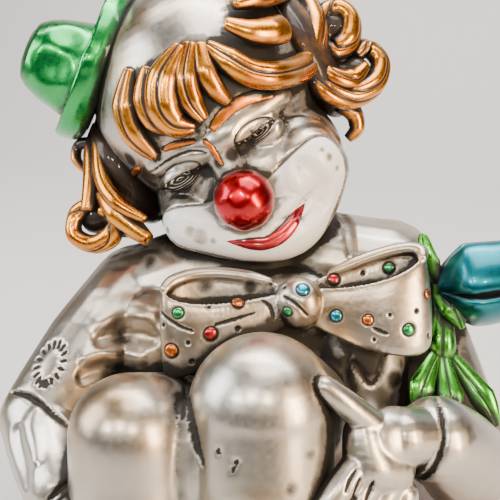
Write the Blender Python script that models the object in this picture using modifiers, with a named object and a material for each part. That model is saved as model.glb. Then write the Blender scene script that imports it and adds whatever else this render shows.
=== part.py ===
"""A seated clown figurine on a low plinth, modelled with Blender 4.5.

The figure is one casting. Each of its forms is a ball, a limb, a ribbon or a turned shape in one
bmesh; a voxel remesh joins them into one closed body, which is then softened and cut flat below.
The figure faces -Y, and the plinth's underside is centred on the origin.
"""
import math

import bmesh
import bpy
from mathutils import Matrix, Vector

# Driving dimensions, in metres
FIGURE_HEIGHT = 0.253
PLINTH_WIDTH = 0.186
PLINTH_DEPTH = 0.236
PLINTH_HEIGHT = 0.012
PLINTH_CORNER_RADIUS = 0.052
PLINTH_EDGE_ROUND = 0.0025
REST_GAP = 0.0003

# The figure is drawn on a grid this many units tall, so every form is a share of its height
GRID_UNITS = 253.0
GRID = FIGURE_HEIGHT / GRID_UNITS
FIGURE_FOOT = Vector((0.0, 0.014, PLINTH_HEIGHT + REST_GAP))

# The head leans to its right side; angles in degrees, place of the nose in grid units
HEAD_YAW, HEAD_PITCH, HEAD_ROLL = 14.4, 2.1, -29.3
NOSE_PLACE = (0.0, 0.0, 164.0)

# How the joined body is meshed
REMESH_VOXEL = 1.7 * GRID
SOFTEN_FACTOR = 0.5
SOFTEN_ROUNDS = 3
BODY_TRIANGLES = 9200
BALL_SEGMENTS, BALL_RINGS = 28, 16
LIMB_SEGMENTS, LIMB_RINGS = 14, 8

# The coat's skirt as (radius, height) pairs, in grid units
SKIRT_PROFILE = ((0, 122), (24, 120), (38, 110), (45, 92), (47, 66), (52, 36), (59, 10), (60, -4),
                 (0, -4))

# The hat: where it points, the middles of its brim and crown, and (radius, height) pairs
HAT_AXIS = (-0.859, -0.315, 0.398)
BRIM_PLACE = (-84.5, 54, 209.3)
BRIM_PROFILE = ((0, 3), (25, 2.5), (29, 1.8), (34, 3), (36.4, 6), (37.8, 3), (36, -0.5),
                (31, -3.2), (25, -4), (0, -4.5))
CROWN_PLACE = (-84, 52, 203)
CROWN_PROFILE = ((0, 37), (8, 36.5), (13.5, 34.5), (17, 30), (19.5, 24), (22, 15), (24, 7),
                 (25, 3), (25, -3), (0, -3))

# The bow tie's ribbon, in grid units, and the balls that make one loop
BOW_THICKNESS = 2.4
BOW_STEPS = 44

# The hanging leaves: their middles and tips, in grid units
LEAVES = (((82, 7, 88), (79, 2, 76)), ((92, 7, 84), (97, 2, 66)), ((101, 11, 82), (108, 10, 66)))


def grid(x, y, z):
    """A place given in grid units above the plinth, in metres."""
    return FIGURE_FOOT + Vector((x, y, z)) * GRID


def head_turn():
    """The head's rotation: its columns are the head's left side, back and up."""
    yaw = Matrix.Rotation(math.radians(HEAD_YAW), 3, "Z")
    pitch = Matrix.Rotation(math.radians(HEAD_PITCH), 3, "X")
    roll = Matrix.Rotation(math.radians(HEAD_ROLL), 3, "Y")
    return yaw @ pitch @ roll


HEAD_TURN = head_turn()
NO_TURN = Matrix.Identity(3)


def head(side, forward, up):
    """A place measured from the nose along the head's own left, front and up."""
    return grid(*NOSE_PLACE) + HEAD_TURN @ Vector((side, -forward, up)) * GRID


def frame_along(axis, near=Vector((0, 0, 1))):
    """A rotation whose Z column is the given axis and whose X column stays close to near."""
    z = axis.normalized()
    y = z.cross(near)
    if y.length < 1e-6:
        y = z.cross(Vector((1, 0, 0)))
    y.normalize()
    return Matrix((y.cross(z), y, z)).transposed()


def add_form(whole, form):
    """Put a finished small form into the whole, which keeps each operator's work small."""
    mesh = bpy.data.meshes.new("form")
    form.to_mesh(mesh)
    form.free()
    whole.from_mesh(mesh)
    bpy.data.meshes.remove(mesh)


def ball_into(form, centre, radii, turn, segments, rings):
    """An ellipsoid in a form, with its three radii in grid units."""
    size = Matrix.Diagonal((radii[0] * GRID, radii[1] * GRID, radii[2] * GRID, 1.0))
    place = Matrix.Translation(centre) @ turn.to_4x4() @ size
    bmesh.ops.create_uvsphere(
        form, u_segments=segments, v_segments=rings, radius=1.0, matrix=place)


def add_ball(bm, centre, radii, turn=NO_TURN):
    """An ellipsoid of its own, with its three radii in grid units."""
    form = bmesh.new()
    ball_into(form, centre, radii, turn, BALL_SEGMENTS, BALL_RINGS)
    add_form(bm, form)


def smooth_path(points, radii, steps):
    """Places and radii along a Catmull-Rom curve through the points."""
    path = []
    last = len(points) - 1
    for i in range(last):
        before, here, there, after = (
            points[max(i - 1, 0)], points[i], points[i + 1], points[min(i + 2, last)])
        for k in range(steps + (i == last - 1)):
            t = k / steps
            place = 0.5 * (2 * here + (there - before) * t
                           + (2 * before - 5 * here + 4 * there - after) * t * t
                           + (3 * here - before - 3 * there + after) * t ** 3)
            path.append((place, radii[i] + (radii[i + 1] - radii[i]) * t))
    return path


def add_limb(bm, points, radii, steps=3):
    """A round limb along a smooth path: balls joined by cones, radii in grid units."""
    path = smooth_path(points, radii, steps)
    form = bmesh.new()
    for (start, start_radius), (end, end_radius) in zip(path, path[1:]):
        middle = (start + end) / 2
        turn = frame_along(end - start).to_4x4()
        bmesh.ops.create_cone(
            form, cap_ends=True, segments=LIMB_SEGMENTS, radius1=start_radius * GRID,
            radius2=end_radius * GRID, depth=(end - start).length,
            matrix=Matrix.Translation(middle) @ turn)
    for place, radius in path:
        ball_into(form, place, (radius, radius, radius), NO_TURN, LIMB_SEGMENTS, LIMB_RINGS)
    add_form(bm, form)


def add_turned(bm, centre, axis, profile, steps=36):
    """A turned solid from (radius, height) pairs in grid units, first and last on the axis."""
    turn = frame_along(axis)
    form = bmesh.new()
    points = [form.verts.new(centre + turn @ Vector((r, 0, h)) * GRID) for r, h in profile]
    edges = [form.edges.new(pair) for pair in zip(points, points[1:])]
    bmesh.ops.spin(
        form, geom=points + edges, cent=centre, axis=turn.col[2], angle=2 * math.pi,
        steps=steps, use_merge=True)
    bmesh.ops.remove_doubles(form, verts=form.verts[:], dist=1e-6)
    bmesh.ops.recalc_face_normals(form, faces=form.faces[:])
    add_form(bm, form)


def add_coat(bm):
    """The seated body: coat skirt, belly, chest, back and sloping shoulders."""
    add_turned(bm, grid(2, 43, 0), Vector((0, 0, 1)), SKIRT_PROFILE)
    add_ball(bm, grid(0, 36, 98), (52, 38, 36))
    add_ball(bm, grid(-44, 12, 78), (30, 30, 40))
    add_ball(bm, grid(48, 24, 78), (26, 26, 40))
    add_limb(bm, [grid(-58, 28, 107), grid(-2, 42, 124), grid(54, 52, 119)], [23, 24, 25])
    add_limb(bm, [grid(0, 40, 120), grid(-8, 42, 146)], [26, 24])


def add_collar(bm):
    """A soft turned-down collar around the neck, open at the front."""
    ring = []
    for k in range(11):
        angle = math.radians(-60 + 30 * k)
        ring.append(grid(2 + 33 * math.cos(angle), 38 + 27 * math.sin(angle),
                         133 + 6 * math.cos(angle)))
    add_limb(bm, ring, [8] * len(ring), steps=2)


def add_arms(bm):
    """Both sleeves; the right arm goes round the right leg, the left hand lies on its knee."""
    add_limb(bm, [grid(-60, 28, 107), grid(-72, -2, 88), grid(-83, -33, 67)], [23, 22.5, 19])
    add_limb(bm, [grid(-83, -33, 67), grid(-72, -49, 58), grid(-60, -62, 52)], [19, 17, 16])
    add_limb(bm, [grid(54, 54, 119), grid(78, 34, 84), grid(98, 13, 46)], [25, 22, 21])
    add_limb(bm, [grid(98, 13, 46), grid(95, -6, 61), grid(87, -24, 76)], [21, 19.5, 18])


def add_hands(bm):
    """The left hand spread on the knee and the right hand round the shin."""
    palm_turn = frame_along(grid(52, -62, 70) - grid(82, -30, 80), Vector((0, -1, 0)))
    add_limb(bm, [grid(84, -28, 79), grid(74, -38, 83)], [12, 12])
    add_ball(bm, grid(70, -42, 82), (9, 13, 15), palm_turn)
    add_limb(bm, [grid(66, -44, 88), grid(54, -51, 101), grid(46, -53, 108)], [6, 5.4, 4.6])
    for k in range(4):
        drop, out = 9.0 * k, 4.5 * k
        add_limb(
            bm,
            [grid(63 + out, -49 + k, 81 - 0.7 * drop), grid(55 + out, -61 + k, 72 - drop),
             grid(47 + out, -69 + k, 62 - drop), grid(38 + out, -76 + k, 54 - drop)],
            [6.6, 6.2, 5.8, 5.0])
    add_ball(bm, grid(-48, -74, 45), (12, 12, 15))
    for k in range(4):
        drop = 8.5 * k
        add_limb(
            bm,
            [grid(-50, -80, 52 - drop), grid(-42, -89, 48 - drop), grid(-29, -93, 44 - drop),
             grid(-18, -89, 41 - drop)],
            [5.4, 5.2, 5.0, 4.6])


def add_legs(bm):
    """Both legs drawn up, the knees high in front of the chest, in baggy trousers."""
    add_limb(bm, [grid(26, 44, 30), grid(24, 0, 62), grid(20, -46, 93)], [30, 29, 29.5])
    add_limb(bm, [grid(-22, 44, 28), grid(-26, -8, 56), grid(-31, -60, 81)], [30, 26, 24.5])
    add_limb(bm, [grid(20, -46, 93), grid(23, -58, 50), grid(26, -62, 20)], [28, 22, 20])
    add_limb(bm, [grid(-31, -60, 81), grid(-28, -70, 45), grid(-27, -70, 20)], [24, 20, 19])
    add_ball(bm, grid(-3, -60, 58), (18, 18, 42))


def add_shoes(bm):
    """Two long round-toed clown shoes with thick soles."""
    for side, reach in ((1, 0), (-1, -6)):
        add_ball(bm, grid(28 * side, -70 + reach, 13), (17, 23, 16))
        add_ball(bm, grid(34 * side, -101 + reach, 13), (21, 25, 17))
        add_ball(bm, grid(31 * side, -86 + reach, 3), (23, 41, 6))


def add_head(bm):
    """The head: domed cranium, full cheeks and chin, heavy brow and the ball nose."""
    add_ball(bm, head(0, -60, 38), (52, 52, 53), HEAD_TURN)
    add_ball(bm, head(1, -44, -2), (45, 38, 37), HEAD_TURN)
    add_ball(bm, head(24, -24, -4), (21, 16, 18), HEAD_TURN)
    add_ball(bm, head(-22, -24, -4), (19, 15, 17), HEAD_TURN)
    add_ball(bm, head(3, -22, -25), (20, 15, 14), HEAD_TURN)
    add_ball(bm, head(2, -16, -13), (20, 13, 10), HEAD_TURN)
    add_limb(bm, [head(-27, -21, 27), head(-6, -11, 25), head(6, -11, 25), head(30, -21, 27)],
             [6, 6, 6, 6])
    add_limb(bm, [head(0, -12, 24), head(0, -7, 6)], [6, 7])
    for side in (-19, 19):
        add_ball(bm, head(side, -17.5, 18), (10, 7, 7), HEAD_TURN)
    for side in (-52, 52):
        add_ball(bm, head(side, -56, 16), (5, 9, 13), HEAD_TURN)
    add_ball(bm, head(0, 0, 0), (13, 13, 13))
    add_limb(bm, [head(-15, -8, -13), head(-4, -2, -20), head(11, -3.5, -20), head(24, -9, -11)],
             [1.6, 3.0, 3.2, 1.6])


def add_brows(bm):
    """Raised painted eyebrows."""
    add_limb(bm, [head(3, -7, 29), head(16, -9, 36), head(31, -17, 31)], [2.4, 3.0, 1.6])
    add_limb(bm, [head(-5, -8, 28), head(-20, -11, 33), head(-31, -19, 27)], [2.0, 2.6, 1.4])


def add_hat(bm):
    """A small bowler with a rolled brim, worn on the right side of the head."""
    add_turned(bm, grid(*BRIM_PLACE), Vector(HAT_AXIS), BRIM_PROFILE)
    add_turned(bm, grid(*CROWN_PLACE), Vector(HAT_AXIS), CROWN_PROFILE)


def add_curl(bm, centre, axis, start, radius, thick, sweep=300.0):
    """One curl: a tapering ring that winds inwards round its axis."""
    turn = frame_along(axis)
    points, radii = [], []
    count = 7
    for k in range(count):
        share = k / (count - 1)
        angle = math.radians(start + sweep * share)
        reach = radius * (1.0 - 0.45 * share) * GRID
        points.append(centre + turn @ Vector((math.cos(angle), math.sin(angle), 0)) * reach)
        radii.append(thick * (1.0 - 0.4 * share))
    add_limb(bm, points, radii, steps=2)
    add_ball(bm, centre, (radius * 0.7, radius * 0.7, thick * 0.7), turn)


# Locks of hair, from root to tip: places in the head's own measures, and a radius at each place
FRINGE_LOCKS = (
    (((-17, -22, 68), (-26, -18, 56), (-29, -15, 44), (-26, -14, 31)), (5, 7, 6, 2.5)),
    (((-9, -15, 66), (-17, -12, 56), (-18, -9, 46), (-12, -8, 38)), (3, 4.5, 4, 2)),
    (((8, -13, 67), (-4, -8, 60), (-10, -5, 50), (-9, -4, 41), (-3, -4, 36)), (4, 7, 7.5, 6, 3)),
    (((12, -13, 66), (4, -7, 56), (1, -5, 46), (2, -4, 37)), (4, 5.5, 5.5, 2.5)),
    (((15, -13, 64), (12, -8, 54), (12, -7, 46), (14, -8, 38)), (3, 5, 4.5, 2.5)),
)
SWEPT_LOCKS = (
    (((17, -13, 62), (22, -10, 53), (28, -11, 43), (37, -17, 36), (47, -37, 31), (54, -47, 35),
      (60, -59, 43), (61, -69, 53)), (3, 5.5, 6, 6, 6.5, 7, 7, 6)),
    (((28, -16, 66), (35, -17, 58), (42, -22, 53), (46, -27, 51)), (3, 5, 6.5, 7)),
    (((34, -26, 70), (45, -35, 66), (53, -55, 62)), (3, 5.5, 7)),
    (((55, -55, 33), (62, -61, 41), (71, -64, 42), (74, -62, 35), (69, -56, 28), (61, -52, 28),
      (59, -56, 33)), (3, 5, 6, 6, 6, 5, 3)),
    (((46, -43, 28), (50, -40, 17), (58, -43, 8), (70, -49, 6), (77, -56, 12), (75, -58, 20),
      (69, -54, 20)), (4, 6, 6, 6, 5.5, 5, 3)),
    (((53, -47, 30), (55, -42, 21), (62, -44, 14), (71, -50, 15)), (3, 4.5, 5, 3)),
    (((52, -46, 7), (56, -49, -1), (54, -48, -8), (48, -47, -10)), (4, 5, 4.5, 3)),
    (((64, -64, 20), (74, -68, 20), (76, -67, 15)), (5, 4.5, 3)),
)
HANGING_LOCKS = (
    (((-44, -59, 56), (-52, -49, 45), (-57, -35, 31), (-54, -24, 20), (-45, -16, 9)),
     (3, 3.5, 3.5, 3.5, 2)),
    (((-52, -59, 50), (-58, -51, 42), (-63, -40, 31), (-70, -32, 21)), (3, 4.5, 5, 5)),
    (((-60, -35, 25), (-57, -26, 14), (-49, -17, 0)), (4, 6.5, 4)),
    (((-69, -33, 24), (-77, -33, 22), (-81, -30, 15), (-75, -27, 8), (-65, -24, 8), (-59, -25, 14),
      (-64, -28, 20)), (3.5, 4.5, 5, 5, 5, 4, 3)),
    (((-58, -56, 45), (-65, -60, 46), (-69, -57, 41), (-66, -52, 34)), (2.5, 3, 3, 2.5)),
)

# What fills the hair under its locks: places and radii in the head's own measures
HAIR_MASSES = (
    ((0, -86, 16), (54, 34, 38)),
    ((50, -62, 30), (13, 28, 34)),
    ((-50, -58, 24), (14, 26, 30)),
    ((66, -62, 35), (9, 8, 9)),
    ((64, -54, 14), (10, 8, 9)),
    ((-70, -36, 16), (9, 7, 9)),
    ((-60, -40, 12), (11, 12, 14)),
)

# Rows of curls round the back: height and reach from the cranium's middle, then a curl's radius
CURL_ROWS = ((38, 54.0, 13.0), (14, 54.0, 13.0), (-8, 44.0, 12.0))
CURLS_IN_ROW = 6
CRANIUM_FORWARD = -60


def add_hair(bm):
    """Fringe, swept and hanging locks, with rows of curls behind; the crown stays bald."""
    for place, radii in HAIR_MASSES:
        add_ball(bm, head(*place), radii, HEAD_TURN)
    for locks in (FRINGE_LOCKS, SWEPT_LOCKS, HANGING_LOCKS):
        for places, radii in locks:
            add_limb(bm, [head(*place) for place in places], radii)
    for row, (up, reach, size) in enumerate(CURL_ROWS):
        for k in range(CURLS_IN_ROW):
            angle = math.radians(25 + 26 * k + 8 * row)
            out = Vector((math.cos(angle), -math.sin(angle), 0))
            place = head(out.x * reach, CRANIUM_FORWARD + out.y * reach, up)
            axis = HEAD_TURN @ Vector((out.x, -out.y, 0.1))
            add_curl(bm, place, axis, 70 * k + 40 * row, size, 7)


def add_ribbon(bm, path, rises, thick, near):
    """A standing ribbon along a closed path: overlapping tall balls, each as high as its rise."""
    form = bmesh.new()
    for place, rise in zip(path, rises):
        turn = frame_along(rise, near)
        ball_into(form, place, (thick, thick, rise.length / GRID), turn, LIMB_SEGMENTS, BALL_RINGS)
    add_form(bm, form)


def add_bow_loop(bm, knot, end, upper, lower, back):
    """One loop of the bow tie: a tall ribbon that runs out, turns and comes back behind."""
    path, rises = [], []
    for k in range(BOW_STEPS):
        angle = math.pi * 2 * k / BOW_STEPS
        along = 0.5 - 0.5 * math.cos(angle)
        centre = knot.lerp(end, along) - back * 0.5 * math.sin(angle) * along ** 0.6
        path.append(centre + (upper + lower - 2 * end) * 0.5 * along)
        rises.append((upper - lower) * (0.17 + 0.33 * along))
    add_ribbon(bm, path, rises, BOW_THICKNESS, back)
    heart = knot.lerp(end, 0.6) + (lower - end) * 0.45
    reach = (end - knot).length / GRID
    add_ball(bm, heart, (reach * 0.36, 8, 12), frame_along(Vector((0, 0, 1)), end - knot))


def add_bow(bm):
    """The big bow tie under the chin: knot and two loops."""
    knot = grid(25, -3, 121)
    add_ball(bm, knot, (11, 10, 11.5))
    back = Vector((0.1, 1.0, 0.25)) * 22 * GRID
    add_bow_loop(bm, knot, grid(-29, -24, 110), grid(-29, -20, 130), grid(-26, -28, 94), back)
    add_bow_loop(bm, knot, grid(76, 10, 121), grid(74, 14, 142), grid(80, 4, 104), back)


def add_flower(bm):
    """A large bud tucked into the crook of the left arm, with sepals and hanging leaves."""
    base, tip = grid(80, 31, 122), grid(128, 40, 130)
    axis = tip - base
    turn = frame_along(axis)
    add_ball(bm, base.lerp(tip, 0.44), (15, 15, 21), turn)
    for k in range(5):
        angle = math.radians(72 * k + 20)
        out = turn @ Vector((math.cos(angle), math.sin(angle), 0)) * GRID
        add_limb(bm, [base + axis * 0.1 + out * 6, base.lerp(tip, 0.5) + out * 12,
                      base.lerp(tip, 0.86) + out * 13], [5, 8, 3])
    knot = grid(84, 20, 99)
    add_limb(bm, [base, grid(83, 28, 112), knot, grid(84, 22, 84)], [6, 5, 5.5, 6])
    add_limb(bm, [base, grid(76, 30, 132), grid(73, 34, 142)], [4.5, 4.5, 2.5])
    for leaf_middle, leaf_tip in LEAVES:
        add_limb(bm, [knot, grid(*leaf_middle), grid(*leaf_tip)], [3, 6, 2.5])


def add_patch(bm):
    """The oval patch sewn on the right sleeve."""
    turn = frame_along(Vector((-0.75, -0.62, 0.22)))
    add_ball(bm, grid(-89, -17, 86), (9, 12, 2.6), turn)


def finish_mesh(bm, name):
    """Join every form into one closed body: remesh, soften, thin out and cut flat below."""
    rough = bpy.data.meshes.new(name + "_rough")
    bm.to_mesh(rough)
    bm.free()
    body = bpy.data.objects.new(name, rough)
    bpy.context.scene.collection.objects.link(body)
    remesh = body.modifiers.new("Join", "REMESH")
    remesh.mode = "VOXEL"
    remesh.voxel_size = REMESH_VOXEL
    soften = body.modifiers.new("Soften", "SMOOTH")
    soften.factor = SOFTEN_FACTOR
    soften.iterations = SOFTEN_ROUNDS
    apply_modifiers(body)
    count = sum(len(face.vertices) - 2 for face in body.data.polygons)
    thin = body.modifiers.new("Thin", "DECIMATE")
    thin.ratio = min(1.0, BODY_TRIANGLES / count)
    apply_modifiers(body)
    flat = bmesh.new()
    flat.from_mesh(body.data)
    cut = bmesh.ops.bisect_plane(
        flat, geom=flat.verts[:] + flat.edges[:] + flat.faces[:], dist=1e-6,
        plane_co=FIGURE_FOOT, plane_no=(0, 0, -1), clear_outer=True)
    rim = [item for item in cut["geom_cut"] if isinstance(item, bmesh.types.BMEdge)]
    bmesh.ops.edgenet_fill(flat, edges=rim)
    bmesh.ops.triangulate(flat, faces=flat.faces[:])
    bmesh.ops.recalc_face_normals(flat, faces=flat.faces[:])
    flat.to_mesh(body.data)
    flat.free()
    body.data.shade_smooth()
    return body


def apply_modifiers(body):
    """Replace the object's mesh by its evaluated one."""
    evaluated = body.evaluated_get(bpy.context.evaluated_depsgraph_get())
    mesh = bpy.data.meshes.new_from_object(evaluated)
    body.modifiers.clear()
    body.data = mesh


def build_clown():
    """The whole casting, from the shoes to the hat."""
    bm = bmesh.new()
    for add_group in (add_coat, add_collar, add_arms, add_hands, add_legs, add_shoes, add_head,
                      add_brows, add_hat, add_hair, add_bow, add_flower, add_patch):
        add_group(bm)
    return finish_mesh(bm, "clown")


def build_plinth():
    """The low plinth: a board with large round corners and a softened edge."""
    bm = bmesh.new()
    size = Matrix.Diagonal((PLINTH_WIDTH, PLINTH_DEPTH, PLINTH_HEIGHT, 1.0))
    bmesh.ops.create_cube(
        bm, size=1.0, matrix=Matrix.Translation((0, 0, PLINTH_HEIGHT / 2)) @ size)
    corners = [edge for edge in bm.edges
               if abs(edge.verts[0].co.z - edge.verts[1].co.z) > PLINTH_HEIGHT / 2]
    bmesh.ops.bevel(bm, geom=corners, offset=PLINTH_CORNER_RADIUS, segments=14, profile=0.5,
                    affect="EDGES", material=-1)
    top = [edge for edge in bm.edges
           if all(vert.co.z > PLINTH_HEIGHT / 2 for vert in edge.verts)]
    bmesh.ops.bevel(bm, geom=top, offset=PLINTH_EDGE_ROUND, segments=2, profile=0.5,
                    affect="EDGES", material=-1)
    mesh = bpy.data.meshes.new("plinth")
    bm.to_mesh(mesh)
    bm.free()
    plinth = bpy.data.objects.new("plinth", mesh)
    bpy.context.scene.collection.objects.link(plinth)
    return plinth


def dress(piece, colour, metallic, roughness):
    """Give a piece its own Principled material."""
    material = bpy.data.materials.new(piece.name + "_finish")
    material.use_nodes = True
    shader = material.node_tree.nodes["Principled BSDF"]
    shader.inputs["Base Color"].default_value = (*colour, 1.0)
    shader.inputs["Metallic"].default_value = metallic
    shader.inputs["Roughness"].default_value = roughness
    piece.data.materials.clear()
    piece.data.materials.append(material)


def main():
    """Clear the scene and build both pieces in their own collection."""
    for item in list(bpy.data.objects):
        bpy.data.objects.remove(item)
    parts = bpy.data.collections.new("clown_figurine")
    bpy.context.scene.collection.children.link(parts)
    clown = build_clown()
    plinth = build_plinth()
    dress(clown, (0.62, 0.58, 0.52), 1.0, 0.3)
    dress(plinth, (0.05, 0.025, 0.015), 0.0, 0.25)
    for piece in (clown, plinth):
        bpy.context.scene.collection.objects.unlink(piece)
        parts.objects.link(piece)


main()
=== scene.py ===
"""Looks of the seated clown figurine: silver leaf, enamels and paint over the cast solid.

Each element that is painted in its own way is a piece of its own, modelled from the same forms as the
solid that it replaces. Engraved lines, dots and painted shapes are laid on the modelled surface where
the photograph's view meets it.
"""
import logging
import math
from dataclasses import dataclass, field
from enum import Enum
from typing import Callable, Iterable, Sequence

import bmesh
import bpy
import numpy as np
from mathutils import Matrix, Vector
from mathutils.bvhtree import BVHTree


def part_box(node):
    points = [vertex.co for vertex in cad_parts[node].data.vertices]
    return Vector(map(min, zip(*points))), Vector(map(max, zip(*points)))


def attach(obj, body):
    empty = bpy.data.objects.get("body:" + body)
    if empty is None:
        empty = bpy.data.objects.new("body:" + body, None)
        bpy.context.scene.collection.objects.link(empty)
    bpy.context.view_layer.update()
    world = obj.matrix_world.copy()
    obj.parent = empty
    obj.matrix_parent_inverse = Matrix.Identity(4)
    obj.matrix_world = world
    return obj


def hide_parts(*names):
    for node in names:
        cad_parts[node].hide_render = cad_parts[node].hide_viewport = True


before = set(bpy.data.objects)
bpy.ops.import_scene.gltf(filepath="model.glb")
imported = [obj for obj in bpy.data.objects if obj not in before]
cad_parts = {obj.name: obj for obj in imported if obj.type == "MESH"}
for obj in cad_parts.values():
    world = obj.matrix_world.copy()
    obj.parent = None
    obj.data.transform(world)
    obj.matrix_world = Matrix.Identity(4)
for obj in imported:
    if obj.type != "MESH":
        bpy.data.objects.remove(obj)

LOG = logging.getLogger("clown_figurine")

Place = tuple[float, float, float]
Pixel = tuple[float, float]

GRID = 0.001
BEHIND_NOSE = 0.03
RAY_LIFT = 0.0004
SHEET_THICKNESS = 0.0016
# Share of a relief sheet's half-width beyond which its rim is darker.
DARK_RIM_FROM = 0.97
COAT_ROUGHNESS = 0.06
WORN_UNDERCOAT = (0.75, 0.72, 0.66, 1)
WHITE_PAINT, AGED_PAINT = (0.80, 0.79, 0.78, 1), (0.60, 0.56, 0.50, 1)
# Dark colour laid on the white paint in hollows and marked places: dirt and painted shade.
PAINT_DIRT_AND_SHADE = (0.06, 0.045, 0.03, 1)
WOOD_DARK, WOOD_LIGHT = (0.020, 0.009, 0.005, 1), (0.085, 0.036, 0.017, 1)
FIGURE_FOOT = Vector((0.0, 0.014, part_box("clown")[0][2]))
NOSE_PLACE: Place = (0.0, 0.0, 164.0)
HEAD_YAW, HEAD_PITCH, HEAD_ROLL = 14.4, 2.1, -29.3
NO_TURN = Matrix.Identity(3)


def grid(x: float, y: float, z: float) -> Vector:
    """A place given in millimetres above the plinth, in metres."""
    return FIGURE_FOOT + Vector((x, y, z)) * GRID


def grids(*places: Place) -> list[Vector]:
    """Several places given as grid takes them."""
    return [grid(*place) for place in places]


def heads(*places: Place) -> list[Vector]:
    """Several places given as head takes them."""
    return [head(*place) for place in places]


def flat_path(pixels: Sequence[Pixel], steps: int) -> list[Vector]:
    """A smooth path through pixels of the photograph, with a height of 0."""
    return smooth_path([Vector((x, y, 0)) for x, y in pixels], steps)


def head_turn() -> Matrix:
    """The head's rotation: its columns are the head's left side, back and up."""
    yaw = Matrix.Rotation(math.radians(HEAD_YAW), 3, "Z")
    pitch = Matrix.Rotation(math.radians(HEAD_PITCH), 3, "X")
    roll = Matrix.Rotation(math.radians(HEAD_ROLL), 3, "Y")
    return yaw @ pitch @ roll


HEAD_TURN = head_turn()


def head(side: float, forward: float, up: float) -> Vector:
    """A place measured from the nose along the head's own left, front and up."""
    return grid(*NOSE_PLACE) + HEAD_TURN @ Vector((side, -forward, up)) * GRID


def frame_along(axis: Vector, near: Vector = Vector((0, 0, 1))) -> Matrix:
    """A rotation whose Z column is the axis and whose X column stays close to near."""
    z = axis.normalized()
    y = z.cross(near)
    if y.length < 1e-6:
        y = z.cross(Vector((1, 0, 0)))
    y.normalize()
    return Matrix((y.cross(z), y, z)).transposed()


def smooth_path(points: Sequence[Vector], steps: int) -> list[Vector]:
    """Places along a Catmull-Rom curve through the points.

    Args:
        points: The curve's own points.
        steps: How many places each stretch gives.

    Returns:
        The places, with both ends.
    """
    path = []
    last = len(points) - 1
    for i in range(last):
        before, here, there, after = (
            points[max(i - 1, 0)], points[i], points[i + 1], points[min(i + 2, last)])
        for k in range(steps + (i == last - 1)):
            t = k / steps
            path.append(0.5 * (2 * here + (there - before) * t
                               + (2 * before - 5 * here + 4 * there - after) * t * t
                               + (3 * here - before - 3 * there + after) * t ** 3))
    return path


def spread(values: Sequence[float], steps: int) -> list[float]:
    """Numbers spread evenly between the given ones, as many as smooth_path gives places."""
    out = []
    for i in range(len(values) - 1):
        count = steps + (i == len(values) - 2)
        out += [values[i] + (values[i + 1] - values[i]) * k / steps for k in range(count)]
    return out


def object_from(name: str, bm: bmesh.types.BMesh) -> bpy.types.Object:
    """Put a finished bmesh into a smooth-shaded object at the origin."""
    mesh = bpy.data.meshes.new(name)
    bm.to_mesh(mesh)
    bm.free()
    mesh.shade_smooth()
    piece = bpy.data.objects.new(name, mesh)
    bpy.context.scene.collection.objects.link(piece)
    return piece


def apply_modifiers(piece: bpy.types.Object) -> None:
    """Replace the piece's mesh by its evaluated one."""
    evaluated = piece.evaluated_get(bpy.context.evaluated_depsgraph_get())
    mesh = bpy.data.meshes.new_from_object(evaluated)
    piece.modifiers.clear()
    piece.data = mesh


@dataclass(frozen=True)
class PhotoView:
    """The photograph's point of view, in millimetres, degrees and pixels."""

    place: Place = (107.5, -391.45, 273.8)
    azimuth: float = 15.0
    elevation: float = 18.0
    focal: float = 1000.0
    width: float = 500.0

    def axes(self) -> tuple[Vector, Vector, Vector]:
        """The view's right, up and forward directions."""
        a, e = math.radians(self.azimuth), math.radians(self.elevation)
        forward = -Vector((math.sin(a) * math.cos(e), -math.cos(a) * math.cos(e), math.sin(e)))
        right = Vector((math.cos(a), math.sin(a), 0.0))
        return right, right.cross(forward), forward

    def eye(self) -> Vector:
        """Where the photograph was taken from."""
        return grid(*self.place)

    def ray(self, x: float, y: float) -> Vector:
        """The direction that a pixel of the photograph looks along."""
        right, up, forward = self.axes()
        half = self.width / 2
        return (forward + right * ((x - half) / self.focal)
                + up * ((half - y) / self.focal)).normalized()

    def add_camera(self) -> None:
        """Make the camera and set it as the scene's own."""
        right, up, forward = self.axes()
        data = bpy.data.cameras.new("photo_view")
        data.sensor_width = 36.0
        data.lens = 36.0 * self.focal / self.width
        data.clip_start = 0.01
        camera = bpy.data.objects.new("photo_view", data)
        turn = Matrix((right, up, -forward)).transposed().to_4x4()
        camera.matrix_world = Matrix.Translation(self.eye()) @ turn
        bpy.context.scene.collection.objects.link(camera)
        bpy.context.scene.camera = camera


VIEW = PhotoView()


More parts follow.
